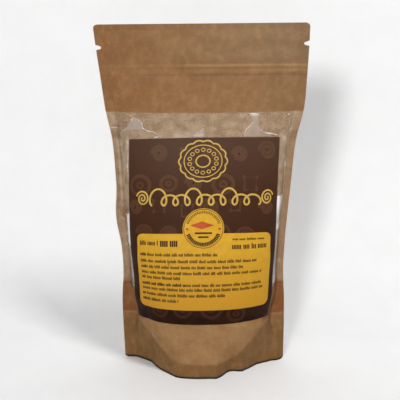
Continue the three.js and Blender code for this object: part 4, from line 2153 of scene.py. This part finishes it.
@dataclass
class Studio:
    """The photograph's pale sweep, soft lights and camera.

    Each light holds its name, its place, its width and height, and its power in watts. Sizes are in mm.
    """

    eye: tuple[float, float, float] = (11.4, -409.6, 203.0)
    target: tuple[float, float, float] = (0.0, 0.0, 110.7)
    roll_deg: float = -0.5
    sensor: float = 36.0
    lens: float = 59.04
    shift: Place = (-0.007, -0.0075)
    sweep_start: float = 38.0
    sweep_radius: float = 150.0
    sweep_steps: int = 32
    sweep_reach: float = 1500.0
    sweep_half: float = 1600.0
    aim_z: float = 100.0
    lights: tuple[tuple[str, tuple[float, float, float], Place, float], ...] = (
        ("key", (-235, -1000, 418), (150, 150), 6.35),
        ("fill", (430, -430, 1000), (200, 340), 5.45),
        ("overhead", (-100, -450, 1300), (400, 400), 1.7),
    )
    air: str = "#f4f8fc"
    air_strength: float = 0.05

    def camera(self) -> None:
        """Sets the camera at the photograph's place."""
        data = bpy.data.cameras.new("camera")
        data.sensor_width = self.sensor
        data.lens = self.lens
        data.shift_x, data.shift_y = self.shift
        data.clip_start, data.clip_end = 0.01, 20
        camera = bpy.data.objects.new("camera", data)
        bpy.context.scene.collection.objects.link(camera)
        eye, target = Vector(self.eye) * MM, Vector(self.target) * MM
        turn = (target - eye).to_track_quat("-Z", "Y").to_matrix().to_4x4()
        roll = Matrix.Rotation(math.radians(self.roll_deg), 4, "Z")
        camera.matrix_world = Matrix.Translation(eye) @ turn @ roll
        bpy.context.scene.camera = camera

    def sweep(self, finish: Material) -> bpy.types.Object:
        """Builds the floor with its sweep up behind the pouch.

        Args:
            finish: the sweep's finish.

        Returns:
            The floor.
        """
        start, radius = self.sweep_start, self.sweep_radius
        profile = [(-self.sweep_reach, 0), (start, 0)]
        for i in range(1, self.sweep_steps + 1):
            angle = math.pi / 2 * i / self.sweep_steps
            profile.append((start + radius * math.sin(angle), radius * (1 - math.cos(angle))))
        profile.append((start + radius, self.sweep_reach))
        corners = [(x, y, z) for y, z in profile for x in (-self.sweep_half, self.sweep_half)]
        floor = to_mesh("studio_sweep", corners, grid_faces(len(profile), 2))
        activate(floor)
        bpy.ops.object.shade_smooth_by_angle(angle=math.radians(60))
        floor.data.materials.append(finish)
        return floor

    def light(self, name: str, place: tuple[float, float, float], size: Place, power: float) -> None:
        """Hangs one soft rectangular light, aimed at the pouch.

        Args:
            name: the light's name.
            place: its place in mm.
            size: its width and height in mm.
            power: its power in watts.
        """
        data = bpy.data.lights.new(name, "AREA")
        data.shape = "RECTANGLE"
        data.size, data.size_y = size[0] * MM, size[1] * MM
        data.energy = power
        lamp = bpy.data.objects.new(name, data)
        bpy.context.scene.collection.objects.link(lamp)
        lamp.location = Vector(place) * MM
        aim = Vector((0, 0, self.aim_z * MM)) - lamp.location
        lamp.rotation_euler = aim.to_track_quat("-Z", "Y").to_euler()

    def build(self) -> None:
        """Sets up camera, floor, lights and the view's colours."""
        self.camera()
        floor = self.sweep(StudioFinish("matt_paper_sweep").build())
        for name, place, size, power in self.lights:
            self.light(name, place, size, power)
        world = bpy.data.worlds.new("studio")
        bpy.context.scene.world = world
        world.use_nodes = True
        background = world.node_tree.nodes["Background"]
        background.inputs["Color"].default_value = linear(self.air)
        background.inputs["Strength"].default_value = self.air_strength
        bpy.context.scene.view_settings.view_transform = "Standard"
        bpy.context.scene.view_settings.look = "None"


def main() -> None:
    """Builds the pouch piece by piece, then the studio."""
    # Unbleached kraft, laminated: cloudy and matt. The back lets some light through the empty header.
    kraft = KraftFinish("kraft_paper_laminated").build()
    backlit = KraftFinish("kraft_paper_backlit", crumple=0.0, relief=0.12, glow=0.5).build()
    PaperPouch().build(kraft, backlit)
    # Clear laminated film: mostly seen by its haze, its dust, a tan partly painted as the lit back wall,
    # painted reflections on its facets and beside the label, and painted highlights along the edges of its
    # folds.
    film = FilmFinish("clear_film_laminated").build()
    WindowFilm().build(film, CreaseHighlightFinish("clear_film_crease_highlight").build())
    # Fine sugar, poured: soft, matt and grainy.
    SugarHeap().build(SugarFinish("fine_sugar_poured").build())
    # Coated label paper, printed: satin, with flat inks that are a little uneven.
    inks = {
        Ink.TONE: LabelFinish("ink_tone_printed", top="#5a3d2a", bottom="#33190c"),
        Ink.GOLD: PrintFinish("ink_gold_printed", colour="#c9a655", wear_and_highlight="#b39043"),
        Ink.YELLOW: PrintFinish("ink_yellow_printed", colour="#cf9f2c", wear_and_highlight="#c39325", low="#b5831f"),
        Ink.DARK: PrintFinish("ink_dark_printed", colour="#3a2410", wear_and_highlight="#2f1c0b"),
        Ink.ORANGE: PrintFinish("ink_orange_printed", colour="#b5512a", wear_and_highlight="#a84420"),
    }
    paper = LabelFinish("coated_paper_printed").build()
    Label().build(paper, {ink: finish.build() for ink, finish in inks.items()})
    Studio().build()


if __name__ == "__main__":
    main()
